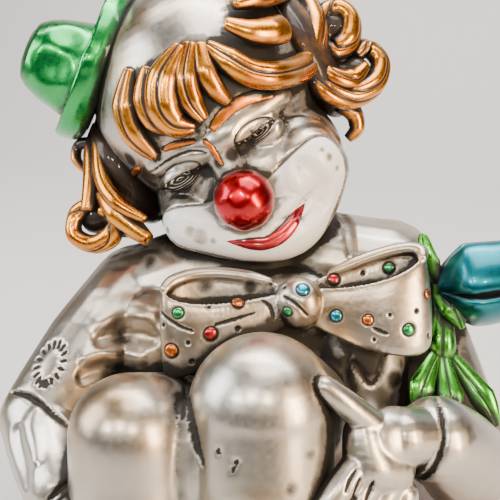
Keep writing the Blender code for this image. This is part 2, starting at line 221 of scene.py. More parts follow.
class Clay:
    """Balls, limbs and turned forms that a voxel remesh joins into one body."""

    def __init__(self) -> None:
        """Start with no forms."""
        self.whole = bmesh.new()

    def take(self, form: bmesh.types.BMesh) -> None:
        """Put a finished small form into the whole."""
        mesh = bpy.data.meshes.new("form")
        form.to_mesh(mesh)
        form.free()
        self.whole.from_mesh(mesh)
        bpy.data.meshes.remove(mesh)

    @staticmethod
    def ball_into(form: bmesh.types.BMesh, centre: Vector, radii: Place, turn: Matrix,
                  segments: int) -> None:
        """Add an ellipsoid, its radii in millimetres, to a form."""
        size = Matrix.Diagonal((radii[0] * GRID, radii[1] * GRID, radii[2] * GRID, 1.0))
        bmesh.ops.create_uvsphere(
            form, u_segments=segments, v_segments=max(8, segments // 2), radius=1.0,
            matrix=Matrix.Translation(centre) @ turn.to_4x4() @ size)

    def ball(self, centre: Vector, radii: Place, turn: Matrix = NO_TURN,
             segments: int = 40) -> None:
        """Add an ellipsoid of its own."""
        form = bmesh.new()
        self.ball_into(form, centre, radii, turn, segments)
        self.take(form)

    def limb(self, points: Sequence[Vector], radii: Sequence[float], steps: int = 5,
             segments: int = 20) -> None:
        """Add a round limb along a smooth path, its radii in millimetres."""
        path, sizes = smooth_path(points, steps), spread(radii, steps)
        form = bmesh.new()
        for start, end, first, last in zip(path, path[1:], sizes, sizes[1:]):
            turn = frame_along(end - start).to_4x4()
            bmesh.ops.create_cone(
                form, cap_ends=True, segments=segments, radius1=first * GRID,
                radius2=last * GRID, depth=(end - start).length,
                matrix=Matrix.Translation((start + end) / 2) @ turn)
        for place, radius in zip(path, sizes):
            self.ball_into(form, place, (radius, radius, radius), NO_TURN, segments)
        self.take(form)

    def turned(self, centre: Vector, axis: Vector, profile: Sequence[Pixel],
               steps: int = 72) -> None:
        """Add a turned solid from (radius, height) pairs in millimetres."""
        self.take(turned_form(centre, axis, profile, steps))

    def ribbon(self, path: Sequence[Vector], rises: Sequence[Vector], thick: float,
               near: Vector) -> None:
        """Add a standing ribbon along a closed path, each ball as high as its rise."""
        form = bmesh.new()
        for place, rise in zip(path, rises):
            self.ball_into(form, place, (thick, thick, rise.length / GRID),
                           frame_along(rise, near), 18)
        self.take(form)

    def fire(self, name: str, voxel: float, rounds: int, cut: bool = False) -> bpy.types.Object:
        """Join the forms into one smooth body.

        Args:
            name: The piece's name.
            voxel: The remesh's voxel in millimetres.
            rounds: How often the surface is softened.
            cut: Whether the body is cut flat where it meets the plinth.

        Returns:
            The finished piece.
        """
        piece = object_from(name, self.whole)
        remesh = piece.modifiers.new("Join", "REMESH")
        remesh.mode = "VOXEL"
        remesh.voxel_size = voxel * GRID
        soften = piece.modifiers.new("Soften", "SMOOTH")
        soften.factor = 0.5
        soften.iterations = rounds
        apply_modifiers(piece)
        if cut:
            flat = bmesh.new()
            flat.from_mesh(piece.data)
            found = bmesh.ops.bisect_plane(
                flat, geom=flat.verts[:] + flat.edges[:] + flat.faces[:], dist=1e-6,
                plane_co=FIGURE_FOOT, plane_no=(0, 0, -1), clear_outer=True)
            rim = [item for item in found["geom_cut"] if isinstance(item, bmesh.types.BMEdge)]
            bmesh.ops.edgenet_fill(flat, edges=rim)
            bmesh.ops.recalc_face_normals(flat, faces=flat.faces[:])
            flat.to_mesh(piece.data)
            flat.free()
        piece.data.shade_smooth()
        return piece


def turned_form(centre: Vector, axis: Vector, profile: Sequence[Pixel],
                steps: int) -> bmesh.types.BMesh:
    """A turned solid from (radius, height) pairs in millimetres, both ends on the axis."""
    turn = frame_along(axis)
    form = bmesh.new()
    points = [form.verts.new(centre + turn @ Vector((r, 0, h)) * GRID) for r, h in profile]
    edges = [form.edges.new(pair) for pair in zip(points, points[1:])]
    bmesh.ops.spin(form, geom=points + edges, cent=centre, axis=turn.col[2],
                   angle=2 * math.pi, steps=steps, use_merge=True)
    bmesh.ops.remove_doubles(form, verts=form.verts[:], dist=1e-6)
    bmesh.ops.recalc_face_normals(form, faces=form.faces[:])
    return form


class Skin:
    """A piece's surface, opened for engraving and modelling."""

    def __init__(self, piece: bpy.types.Object) -> None:
        """Read the piece's vertices and normals."""
        self.piece = piece
        mesh = piece.data
        count = len(mesh.vertices)
        self.places = np.empty(count * 3)
        mesh.vertices.foreach_get("co", self.places)
        self.places = self.places.reshape(count, 3)
        self.normals = np.empty(count * 3)
        mesh.vertices.foreach_get("normal", self.normals)
        self.normals = self.normals.reshape(count, 3)
        self.tree = tree_of([piece])
        self.stain = np.zeros(count)
        self.marks: dict[str, np.ndarray] = {}

    def meet(self, x: float, y: float) -> tuple[Vector, Vector]:
        """Where a pixel's line of sight meets the surface, and the surface's normal there."""
        direction = VIEW.ray(x, y)
        place, normal, _, _ = self.tree.ray_cast(VIEW.eye(), direction)
        if place is None:
            reach = (grid(*NOSE_PLACE) - VIEW.eye()).length + BEHIND_NOSE
            place, normal, _, _ = self.tree.find_nearest(VIEW.eye() + direction * reach)
        return place, normal

    def trace(self, pixels: Sequence[Pixel], steps: int = 10) -> np.ndarray:
        """Lay a smooth line of pixels on the surface and give its places."""
        return np.array([self.meet(point.x, point.y)[0][:] for point in flat_path(pixels, steps)])

    def near(self, line: np.ndarray, reach: float) -> tuple[np.ndarray, np.ndarray]:
        """The vertices within reach of a line's places, and each one's share of that reach.

        Args:
            line: The line's places; its ends are thinner than its middle.
            reach: How far the line reaches sideways, in metres.

        Returns:
            The vertices' numbers, and 0 on the line to 1 at its border.
        """
        low, high = line.min(0) - reach, line.max(0) + reach
        inside = np.where(((self.places > low) & (self.places < high)).all(1))[0]
        share = np.full(len(inside), 9.0)
        count = len(line)
        for k, place in enumerate(line):
            taper = 1.0 if count < 2 else 0.4 + 0.6 * math.sin(math.pi * k / (count - 1)) ** 0.5
            away = np.sqrt(((self.places[inside] - place) ** 2).sum(1))
            share = np.minimum(share, away / (reach * taper))
        close = share < 1.0
        return inside[close], share[close]

    def press(self, line: np.ndarray, width: float, depth: float, stain: float) -> None:
        """Move the surface along a line: in for a positive depth, out for a negative one."""
        found, share = self.near(line, width * GRID)
        weight = (1 - share ** 2) ** 2
        self.places[found] -= self.normals[found] * (weight * depth * GRID)[:, None]
        self.stain[found] = np.maximum(self.stain[found], weight * stain)

    def shade(self, x: float, y: float, radius: float, stain: float) -> None:
        """Leave patina and painted shade on a round place that the photograph shows dark."""
        self.swell(x, y, radius, 0.0, stain)

    def engrave(self, pixels: Sequence[Pixel], width: float, depth: float,
                stain: float = 1.0) -> None:
        """Cut a line that the photograph shows, width and depth in millimetres."""
        self.press(self.trace(pixels), width, depth, stain)

    def swell(self, x: float, y: float, radius: float, height: float,
              stain: float = 0.0) -> None:
        """Raise, or with a negative height sink, a round place that the photograph shows."""
        self.press(np.array([self.meet(x, y)[0][:]]), radius, -height, stain)

    def commit(self) -> None:
        """Write the moved surface back into the piece, with its patina, painted shade and marks."""
        mesh = self.piece.data
        mesh.vertices.foreach_set("co", self.places.ravel())
        mesh.update()
        write_mark(mesh, "stain", self.stain)
        for name, values in self.marks.items():
            write_mark(mesh, name, values)


def write_mark(mesh: bpy.types.Mesh, name: str, values: np.ndarray) -> None:
    """Keep one number for each vertex as an attribute that a material can read."""
    mark = mesh.attributes.get(name) or mesh.attributes.new(name, "FLOAT", "POINT")
    mark.data.foreach_set("value", np.clip(values, 0, 1).astype(np.float32))


def tree_of(pieces: Iterable[bpy.types.Object]) -> BVHTree:
    """One search tree over the polygons of all the pieces."""
    places, faces = [], []
    for piece in pieces:
        start = len(places)
        places += [vertex.co[:] for vertex in piece.data.vertices]
        faces += [[start + i for i in face.vertices] for face in piece.data.polygons]
    return BVHTree.FromPolygons(places, faces)


@dataclass
class Hollows:
    """Finds how hidden each vertex lies, which the materials darken as patina and as painted shade.
    """

    reach: float = 18.0
    rays: int = 12
    gain: float = 2.9

    def directions(self) -> np.ndarray:
        """Fixed directions spread over a hemisphere round +Z."""
        k = np.arange(self.rays) + 0.5
        up = 1 - 0.85 * k / self.rays
        angle = k * math.pi * (3 - math.sqrt(5))
        flat = np.sqrt(1 - up ** 2)
        return np.stack([flat * np.cos(angle), flat * np.sin(angle), up], 1)

    def mark(self, pieces: Sequence[bpy.types.Object], all_pieces: Sequence[bpy.types.Object]
             ) -> None:
        """Write each piece's attribute of patina and painted shade from short rays against every
        piece.
        """
        tree = tree_of(all_pieces)
        spokes = self.directions()
        reach = self.reach * GRID
        for piece in pieces:
            mesh = piece.data
            values = np.zeros(len(mesh.vertices))
            for index, vertex in enumerate(mesh.vertices):
                normal = vertex.normal
                side = normal.orthogonal().normalized()
                other = normal.cross(side)
                start = vertex.co + normal * RAY_LIFT
                total = 0.0
                for x, y, z in spokes:
                    hit = tree.ray_cast(start, side * x + other * y + normal * z, reach)
                    if hit[3] is not None:
                        total += 1.0 - hit[3] / reach
                values[index] = total / self.rays
            write_mark(mesh, "hollow_patina_and_shade", values * self.gain)


class Lock:
    """A lock, leaf or strap: a ribbed strip swept along a smooth path."""

    def __init__(self, ribs: int = 3, rib_depth: float = 0.3, flat: float = 0.7,
                 segments: int = 40, steps: int = 8) -> None:
        """Keep the section's own values.

        Args:
            ribs: How many ribs the outer side has.
            rib_depth: How deep the grooves between them are, as a share of the radius.
            flat: The section's thickness over its width.
            segments: Vertices in one section.
            steps: Sections in each stretch of the path.
        """
        self.ribs, self.rib_depth, self.flat = ribs, rib_depth, flat
        self.segments, self.steps = segments, steps

    def section(self) -> list[tuple[float, float, float]]:
        """The section's places across and outwards, for a radius of 1, and each one's stain."""
        grooves = [math.pi * j / self.ribs for j in range(1, self.ribs)]
        out = []
        for k in range(self.segments):
            angle = 2 * math.pi * k / self.segments
            gap = min((abs(angle - groove) for groove in grooves), default=9.0)
            reach = 1 - self.rib_depth * math.exp(-gap / 0.20)
            out.append((math.cos(angle) * reach, math.sin(angle) * self.flat * reach,
                        math.exp(-(gap / 0.15) ** 2)))
        return out

    def sweep(self, points: Sequence[Vector], radii: Sequence[float], outward: Callable
              ) -> tuple[bmesh.types.BMesh, list[float]]:
        """Sweep the section along the path.

        Args:
            points: The path's own points.
            radii: Half-widths in millimetres, one for each point.
            outward: Gives the direction that the ribbed side faces at a place.

        Returns:
            The swept form, closed at both ends, and each vertex's stain.
        """
        path, sizes = smooth_path(points, self.steps), spread(radii, self.steps)
        section = self.section()
        form = bmesh.new()
        made = bmesh.ops.create_circle(form, cap_ends=False, segments=self.segments, radius=1.0)
        ring, stains, first = made["verts"], [], None
        count = len(path)
        for index, (place, radius) in enumerate(zip(path, sizes)):
            ahead = path[min(index + 1, count - 1)] - path[max(index - 1, 0)]
            across = ahead.cross(outward(place)).normalized()
            out = across.cross(ahead).normalized()
            if index:
                edges = [form.edges.get((a, b)) for a, b in zip(ring, ring[1:] + ring[:1])]
                grown = bmesh.ops.extrude_edge_only(form, edges=edges)["geom"]
                fresh = {id(item) for item in grown if isinstance(item, bmesh.types.BMVert)}
                ring = [next(edge.other_vert(vert) for edge in vert.link_edges
                             if id(edge.other_vert(vert)) in fresh) for vert in ring]
            for vert, (x, y, groove) in zip(ring, section):
                vert.co = place + (across * x + out * y) * radius * GRID
                stains.append(groove)
            if first is None:
                first = list(ring)
        for rim in (first, ring):
            middle = sum((vert.co for vert in rim), Vector()) / len(rim)
            edges = [form.edges.get((a, b)) for a, b in zip(rim, rim[1:] + rim[:1])]
            form.verts.index_update()
            made = bmesh.ops.edgeloop_fill(form, edges=edges)["faces"]
            poked = bmesh.ops.poke(form, faces=made)["verts"]
            poked[0].co = middle
            stains.append(0.0)
        bmesh.ops.recalc_face_normals(form, faces=form.faces[:])
        return form, stains


class Bundle:
    """Several swept forms kept together as one piece, with their stains."""

    def __init__(self) -> None:
        """Start with no strips."""
        self.whole = bmesh.new()
        self.stains: list[float] = []

    def lay(self, lock: Lock, points: Sequence[Vector], radii: Sequence[float],
            outward: Callable) -> None:
        """Sweep a lock along a path and put it into the bundle."""
        self.add(*lock.sweep(points, radii, outward))

    def add(self, form: bmesh.types.BMesh, stains: Sequence[float]) -> None:
        """Put a swept form into the bundle."""
        mesh = bpy.data.meshes.new("strip")
        form.to_mesh(mesh)
        form.free()
        self.whole.from_mesh(mesh)
        bpy.data.meshes.remove(mesh)
        self.stains += list(stains)

    def close(self, name: str) -> bpy.types.Object:
        """Make the piece and write its stain."""
        piece = object_from(name, self.whole)
        write_mark(piece.data, "stain", np.array(self.stains))
        return piece


class Effects:
    """Node groups that more than one finish uses."""

    @staticmethod
    def group(name: str, inputs: Sequence[tuple[str, str, object]],
              outputs: Sequence[tuple[str, str]]) -> bpy.types.NodeTree:
        """Make an empty group with named sockets."""
        tree = bpy.data.node_groups.new(name, "ShaderNodeTree")
        for label, kind, value in inputs:
            socket = tree.interface.new_socket(label, in_out="INPUT", socket_type=kind)
            socket.default_value = value
        for label, kind in outputs:
            tree.interface.new_socket(label, in_out="OUTPUT", socket_type=kind)
        tree.nodes.new("NodeGroupInput")
        tree.nodes.new("NodeGroupOutput")
        return tree

    @classmethod
    def patina(cls) -> bpy.types.NodeTree:
        """Metal that is tinted in clouds and dark in the hollows and marked places, as patina and
        painted shade.
        """
        existing = bpy.data.node_groups.get("leaf_patina")
        if existing:
            return existing
        tree = cls.group(
            "leaf_patina",
            [("Metal", "NodeSocketColor", (0.8, 0.8, 0.8, 1)),
             ("Tint", "NodeSocketColor", (0.6, 0.5, 0.4, 1)),
             ("Dark", "NodeSocketColor", (0.02, 0.015, 0.01, 1)),
             ("Hollow", "NodeSocketFloat", 0.0), ("Stain And Shade", "NodeSocketFloat", 0.0),
             ("Cloud Size", "NodeSocketFloat", 26.0), ("Tint Share", "NodeSocketFloat", 0.5),
             ("Polish", "NodeSocketFloat", 0.25)],
            [("Color", "NodeSocketColor"), ("Roughness", "NodeSocketFloat"),
             ("Metallic", "NodeSocketFloat"), ("Height", "NodeSocketFloat")])
        build = Wiring(tree)
        source = build.inputs()
        coords = build.node("ShaderNodeTexCoord").outputs["Object"]
        clouds = build.noise(coords, source["Cloud Size"], 3.0, 0.55)
        grain = build.noise(coords, 420.0, 4.0, 0.6)
        streak = build.noise(coords, 95.0, 5.0, 0.7)
        tint = build.math("MULTIPLY", build.ramp(clouds, 0.42, 0.68), source["Tint Share"])
        metal = build.mix(tint, source["Metal"], source["Tint"])
        ragged = build.math("MULTIPLY", build.math("SUBTRACT", streak, 0.5), 0.5)
        # Darkening in hidden places and along engraved and shaded marks: patina and painted shade.
        hidden = build.ramp(build.math("ADD", source["Hollow"], ragged), 0.20, 0.72)
        cut = build.ramp(build.math("ADD", source["Stain And Shade"], ragged), 0.22, 0.66)
        dirt_and_shade = build.math("MAXIMUM", hidden, cut)
        speck = build.ramp(build.noise(coords, 700.0, 2.0, 0.5), 0.71, 0.77)
        dirt_and_shade = build.math("MAXIMUM", dirt_and_shade, build.math("MULTIPLY", speck, 0.25))
        build.give("Color", build.mix(dirt_and_shade, metal, source["Dark"]))
        rough = build.math("ADD", source["Polish"],
                           build.math("MULTIPLY", build.math("SUBTRACT", grain, 0.5), 0.18))
        build.give("Roughness", build.math("ADD", rough, build.math("MULTIPLY", dirt_and_shade, 0.28)))
        build.give("Metallic", build.math("SUBTRACT", 1.0, build.math("MULTIPLY", dirt_and_shade, 0.6)))
        height = build.math("ADD", build.math("MULTIPLY", grain, 0.35),
                            build.math("MULTIPLY", dirt_and_shade, -0.8))
        build.give("Height", height)
        return tree

    @classmethod
    def chips(cls) -> bpy.types.NodeTree:
        """Small places where a paint is worn through."""
        existing = bpy.data.node_groups.get("worn_chips")
        if existing:
            return existing
        tree = cls.group(
            "worn_chips", [("Size", "NodeSocketFloat", 60.0), ("Limit", "NodeSocketFloat", 0.7)],
            [("Mask", "NodeSocketFloat")])
        build = Wiring(tree)
        source = build.inputs()
        coords = build.node("ShaderNodeTexCoord").outputs["Object"]
        patches = build.noise(coords, source["Size"], 5.0, 0.62)
        above = build.math("SUBTRACT", patches, source["Limit"])
        build.give("Mask", build.ramp(above, 0.0, 0.03))
        return tree


class Wiring:
    """Short names for the shader nodes that the finishes use."""

    def __init__(self, tree: bpy.types.NodeTree) -> None:
        """Work in the given node tree."""
        self.tree = tree

    def node(self, kind: str) -> bpy.types.Node:
        """Add a node."""
        return self.tree.nodes.new(kind)

    def inputs(self) -> bpy.types.bpy_prop_collection:
        """The group's own input sockets."""
        return next(n for n in self.tree.nodes if n.bl_idname == "NodeGroupInput").outputs

    def give(self, label: str, value: bpy.types.NodeSocket) -> None:
        """Link a value to one of the group's outputs."""
        out = next(n for n in self.tree.nodes if n.bl_idname == "NodeGroupOutput")
        self.tree.links.new(value, out.inputs[label])

    def plug(self, socket: bpy.types.NodeSocket, value: object) -> None:
        """Link or set a socket, whichever the value asks for."""
        if isinstance(value, bpy.types.NodeSocket):
            self.tree.links.new(value, socket)
        else:
            socket.default_value = value

    def math(self, operation: str, first: object, second: object) -> bpy.types.NodeSocket:
        """One Math node."""
        node = self.node("ShaderNodeMath")
        node.operation = operation
        self.plug(node.inputs[0], first)
        self.plug(node.inputs[1], second)
        return node.outputs[0]

    def mix(self, share: object, first: object, second: object) -> bpy.types.NodeSocket:
        """Mix two colours by a share."""
        node = self.node("ShaderNodeMix")
        node.data_type = "RGBA"
        self.plug(node.inputs["Factor"], share)
        self.plug(node.inputs[6], first)
        self.plug(node.inputs[7], second)
        return node.outputs[2]

    def ramp(self, value: object, low: float, high: float) -> bpy.types.NodeSocket:
        """Turn the stretch from low to high into 0 to 1, smoothly."""
        node = self.node("ShaderNodeMapRange")
        node.interpolation_type = "SMOOTHSTEP"
        self.plug(node.inputs["Value"], value)
        node.inputs["From Min"].default_value = low
        node.inputs["From Max"].default_value = high
        return node.outputs["Result"]

    def noise(self, coords: object, scale: object, detail: float, rough: float
              ) -> bpy.types.NodeSocket:
        """One Noise Texture."""
        node = self.node("ShaderNodeTexNoise")
        self.plug(node.inputs["Vector"], coords)
        self.plug(node.inputs["Scale"], scale)
        node.inputs["Detail"].default_value = detail
        node.inputs["Roughness"].default_value = rough
        return node.outputs["Fac"]

    def mark(self, name: str) -> bpy.types.NodeSocket:
        """Read a vertex attribute."""
        node = self.node("ShaderNodeAttribute")
        node.attribute_name = name
        return node.outputs["Fac"]


@dataclass(frozen=True)
class MetalFinish:
    """Silver leaf or a translucent enamel over it, with patina and painted shade in the hollows."""

    name: str
    metal: Place
    tint: Place
    dark: Place = (0.012, 0.009, 0.006)
    polish: float = 0.24
    tint_share: float = 0.6
    cloud_size: float = 26.0
    coat: float = 0.0
    wear: float = 0.0
    bump: float = 0.10
    painted: bool = False

    def make(self) -> bpy.types.Material:
        """Build the material's nodes."""
        material = bpy.data.materials.new(self.name)
        material.use_nodes = True
        build = Wiring(material.node_tree)
        shader = material.node_tree.nodes["Principled BSDF"]
        patina = build.node("ShaderNodeGroup")
        patina.node_tree = Effects.patina()
        for label, value in (
                ("Metal", (*self.metal, 1)), ("Tint", (*self.tint, 1)),
                ("Dark", (*self.dark, 1)), ("Polish", self.polish),
                ("Tint Share", self.tint_share), ("Cloud Size", self.cloud_size),
                ("Hollow", build.mark("hollow_patina_and_shade")), ("Stain And Shade", build.mark("stain"))):
            build.plug(patina.inputs[label], value)
        colour, rough, metallic, height = (
            patina.outputs[label] for label in ("Color", "Roughness", "Metallic", "Height"))
        if self.wear > 0:
            chips = build.node("ShaderNodeGroup")
            chips.node_tree = Effects.chips()
            chips.inputs["Limit"].default_value = 1 - self.wear
            colour = build.mix(chips.outputs["Mask"], colour, WORN_UNDERCOAT)
        if self.painted:
            white = build.mark("white")
            worn = build.mark("worn")
            chips = build.node("ShaderNodeGroup")
            chips.node_tree = Effects.chips()
            chips.inputs["Size"].default_value = 85.0
            chips.inputs["Limit"].default_value = 0.69
            gone = build.math("MAXIMUM", chips.outputs["Mask"], worn)
            shown = build.math("MULTIPLY", white, build.math("SUBTRACT", 1.0, gone))
            coords = build.node("ShaderNodeTexCoord").outputs["Object"]
            age = build.ramp(build.noise(coords, 34.0, 4.0, 0.6), 0.45, 0.8)
            paint = build.mix(build.math("MULTIPLY", age, 0.55), WHITE_PAINT, AGED_PAINT)
            # The white paint darkens in hollows and marked places: dirt and painted shade.
            dirt_and_shade = build.ramp(build.math("MAXIMUM", build.mark("stain"),
                                         build.mark("hollow_patina_and_shade")), 0.30, 0.85)
            paint = build.mix(build.math("MULTIPLY", dirt_and_shade, 0.88), paint, PAINT_DIRT_AND_SHADE)
            colour = build.mix(shown, colour, paint)
            rough = build.math("ADD", build.math("MULTIPLY", rough,
                                                 build.math("SUBTRACT", 1.0, shown)),
                               build.math("MULTIPLY", shown, 0.24))
            metallic = build.math("MULTIPLY", metallic, build.math("SUBTRACT", 1.0, shown))
        bump = build.node("ShaderNodeBump")
        bump.inputs["Strength"].default_value = self.bump
        bump.inputs["Distance"].default_value = 0.0006
        build.plug(bump.inputs["Height"], height)
        for label, value in (
                ("Base Color", colour), ("Roughness", rough), ("Metallic", metallic),
                ("Normal", bump.outputs["Normal"]), ("Coat Weight", self.coat),
                ("Coat Roughness", COAT_ROUGHNESS)):
            build.plug(shader.inputs[label], value)
        return material


class Finish(Enum):
    """The figurine's finishes."""

    SILVER = MetalFinish("satin_silver", (0.51, 0.47, 0.41), (0.35, 0.235, 0.125), polish=0.32,
                         tint_share=0.9, cloud_size=16.0)
    FACE = MetalFinish("painted_face", (0.50, 0.46, 0.40), (0.34, 0.24, 0.14), polish=0.30,
                       painted=True, tint_share=0.9, cloud_size=26.0)
    HAIR = MetalFinish("copper_enamel", (0.74, 0.29, 0.028), (0.46, 0.13, 0.008),
                       dark=(0.015, 0.007, 0.003), polish=0.27, coat=0.35, wear=0.25,
                       cloud_size=60.0, tint_share=0.9)
    HAT = MetalFinish("green_enamel", (0.018, 0.33, 0.07), (0.005, 0.14, 0.035), polish=0.28,
                      coat=0.5, cloud_size=40.0, dark=(0.002, 0.02, 0.006))
    LEAF = MetalFinish("leaf_enamel", (0.10, 0.46, 0.05), (0.02, 0.20, 0.03), polish=0.28,
                       coat=0.4, cloud_size=70.0, dark=(0.005, 0.02, 0.004))
    FLOWER = MetalFinish("teal_enamel", (0.008, 0.17, 0.21), (0.003, 0.07, 0.12), polish=0.33,
                         coat=0.3, cloud_size=60.0, dark=(0.002, 0.006, 0.012))
    NOSE = MetalFinish("red_enamel", (0.46, 0.004, 0.012), (0.24, 0.002, 0.006), polish=0.30,
                       coat=0.45, wear=0.21, cloud_size=60.0, bump=0.02)
    LIPS = MetalFinish("lip_enamel", (0.50, 0.010, 0.025), (0.30, 0.004, 0.010), polish=0.34,
                       coat=0.9, cloud_size=80.0, bump=0.03)
    BROW = MetalFinish("brow_enamel", (0.66, 0.19, 0.015), (0.46, 0.08, 0.008), polish=0.34,
                       coat=0.3, cloud_size=90.0, bump=0.03)
    ORANGE_DOT = MetalFinish("orange_dot", (0.62, 0.15, 0.015), (0.40, 0.07, 0.006), polish=0.3,
                             coat=0.8)
    RED_DOT = MetalFinish("red_dot", (0.52, 0.015, 0.02), (0.30, 0.008, 0.01), polish=0.3,
                          coat=0.8)
    GREEN_DOT = MetalFinish("green_dot", (0.03, 0.32, 0.10), (0.01, 0.15, 0.04), polish=0.3,
                            coat=0.8)
    TEAL_DOT = MetalFinish("teal_dot", (0.015, 0.28, 0.42), (0.008, 0.13, 0.22), polish=0.3,
                           coat=0.8)

    def dress(self, piece: bpy.types.Object) -> None:
        """Give the piece this finish."""
        material = bpy.data.materials.get(self.value.name) or self.value.make()
        piece.data.materials.clear()
        piece.data.materials.append(material)


@dataclass
class Studio:
    """A pale floor that curves up behind, soft light, and the photograph's own camera."""

    half_width: float = 2.2
    front: float = -2.2
    bend_start: float = 0.75
    bend_radius: float = 0.5
    bend_steps: int = 12
    height: float = 1.7
    colour: Place = (0.66, 0.645, 0.635)

    def build(self) -> None:
        """Lay the floor, hang the lights and set the camera."""
        bm = bmesh.new()
        line = [(self.front, 0.0), (self.bend_start, 0.0)]
        for k in range(1, self.bend_steps + 1):
            angle = math.pi / 2 * k / self.bend_steps
            line.append((self.bend_start + self.bend_radius * math.sin(angle),
                         self.bend_radius * (1 - math.cos(angle))))
        line.append((self.bend_start + self.bend_radius, self.height))
        rows = [[bm.verts.new((x, y, z)) for x in (-self.half_width, self.half_width)]
                for y, z in line]
        for low, high in zip(rows, rows[1:]):
            bm.faces.new((low[0], low[1], high[1], high[0]))
        floor = object_from("floor", bm)
        material = bpy.data.materials.new("pale_floor")
        material.use_nodes = True
        shader = material.node_tree.nodes["Principled BSDF"]
        shader.inputs["Base Color"].default_value = (*self.colour, 1)
        shader.inputs["Roughness"].default_value = 0.9
        shader.inputs["Specular IOR Level"].default_value = 0.1
        floor.data.materials.append(material)
        world = bpy.data.worlds.new("studio")
        world.use_nodes = True
        background = world.node_tree.nodes["Background"]
        background.inputs["Color"].default_value = (0.44, 0.40, 0.36, 1)
        background.inputs["Strength"].default_value = 0.24
        bpy.context.scene.world = world
        aim = grid(0, 0, 120)
        small = (0.045, 0.045)
        lamps = (
            ("window", (-600, -220, 420), (0.35, 0.5), 5.0, (0.95, 0.97, 1.0), aim),
            ("ceiling", (40, 20, 760), (0.6, 0.4), 5.2, (1.0, 0.97, 0.93), aim),
            ("warm_side", (600, -300, 260), (0.16, 0.40), 8.0, (1.0, 0.72, 0.45), aim),
            ("left_spot", (-260, -520, 430), small, 1.3, (1.0, 0.97, 0.93), aim),
            ("middle_spot", (-30, -560, 520), small, 1.5, (1.0, 0.95, 0.88), aim),
            ("right_spot", (230, -520, 470), small, 1.4, (1.0, 0.86, 0.68), aim),
            ("wall_wash", (0, 250, 1150), (1.6, 0.4), 30.0, (1.0, 0.98, 0.96),
             grid(0, 1150, 350)),
        )
        for name, place, size, power, colour, target in lamps:
            self.lamp(name, grid(*place), target, size, power, colour)
        VIEW.add_camera()

    @staticmethod
    def lamp(name: str, place: Vector, aim: Vector, size: tuple[float, float], power: float,
             colour: Place) -> None:
        """Hang one soft box, aimed at the figure."""
        data = bpy.data.lights.new(name, "AREA")
        data.shape = "RECTANGLE"
        data.size, data.size_y = size
        data.energy = power
        data.color = colour
        lamp = bpy.data.objects.new(name, data)
        lamp.location = place
        lamp.rotation_euler = (aim - place).to_track_quat("-Z", "Y").to_euler()
        bpy.context.scene.collection.objects.link(lamp)


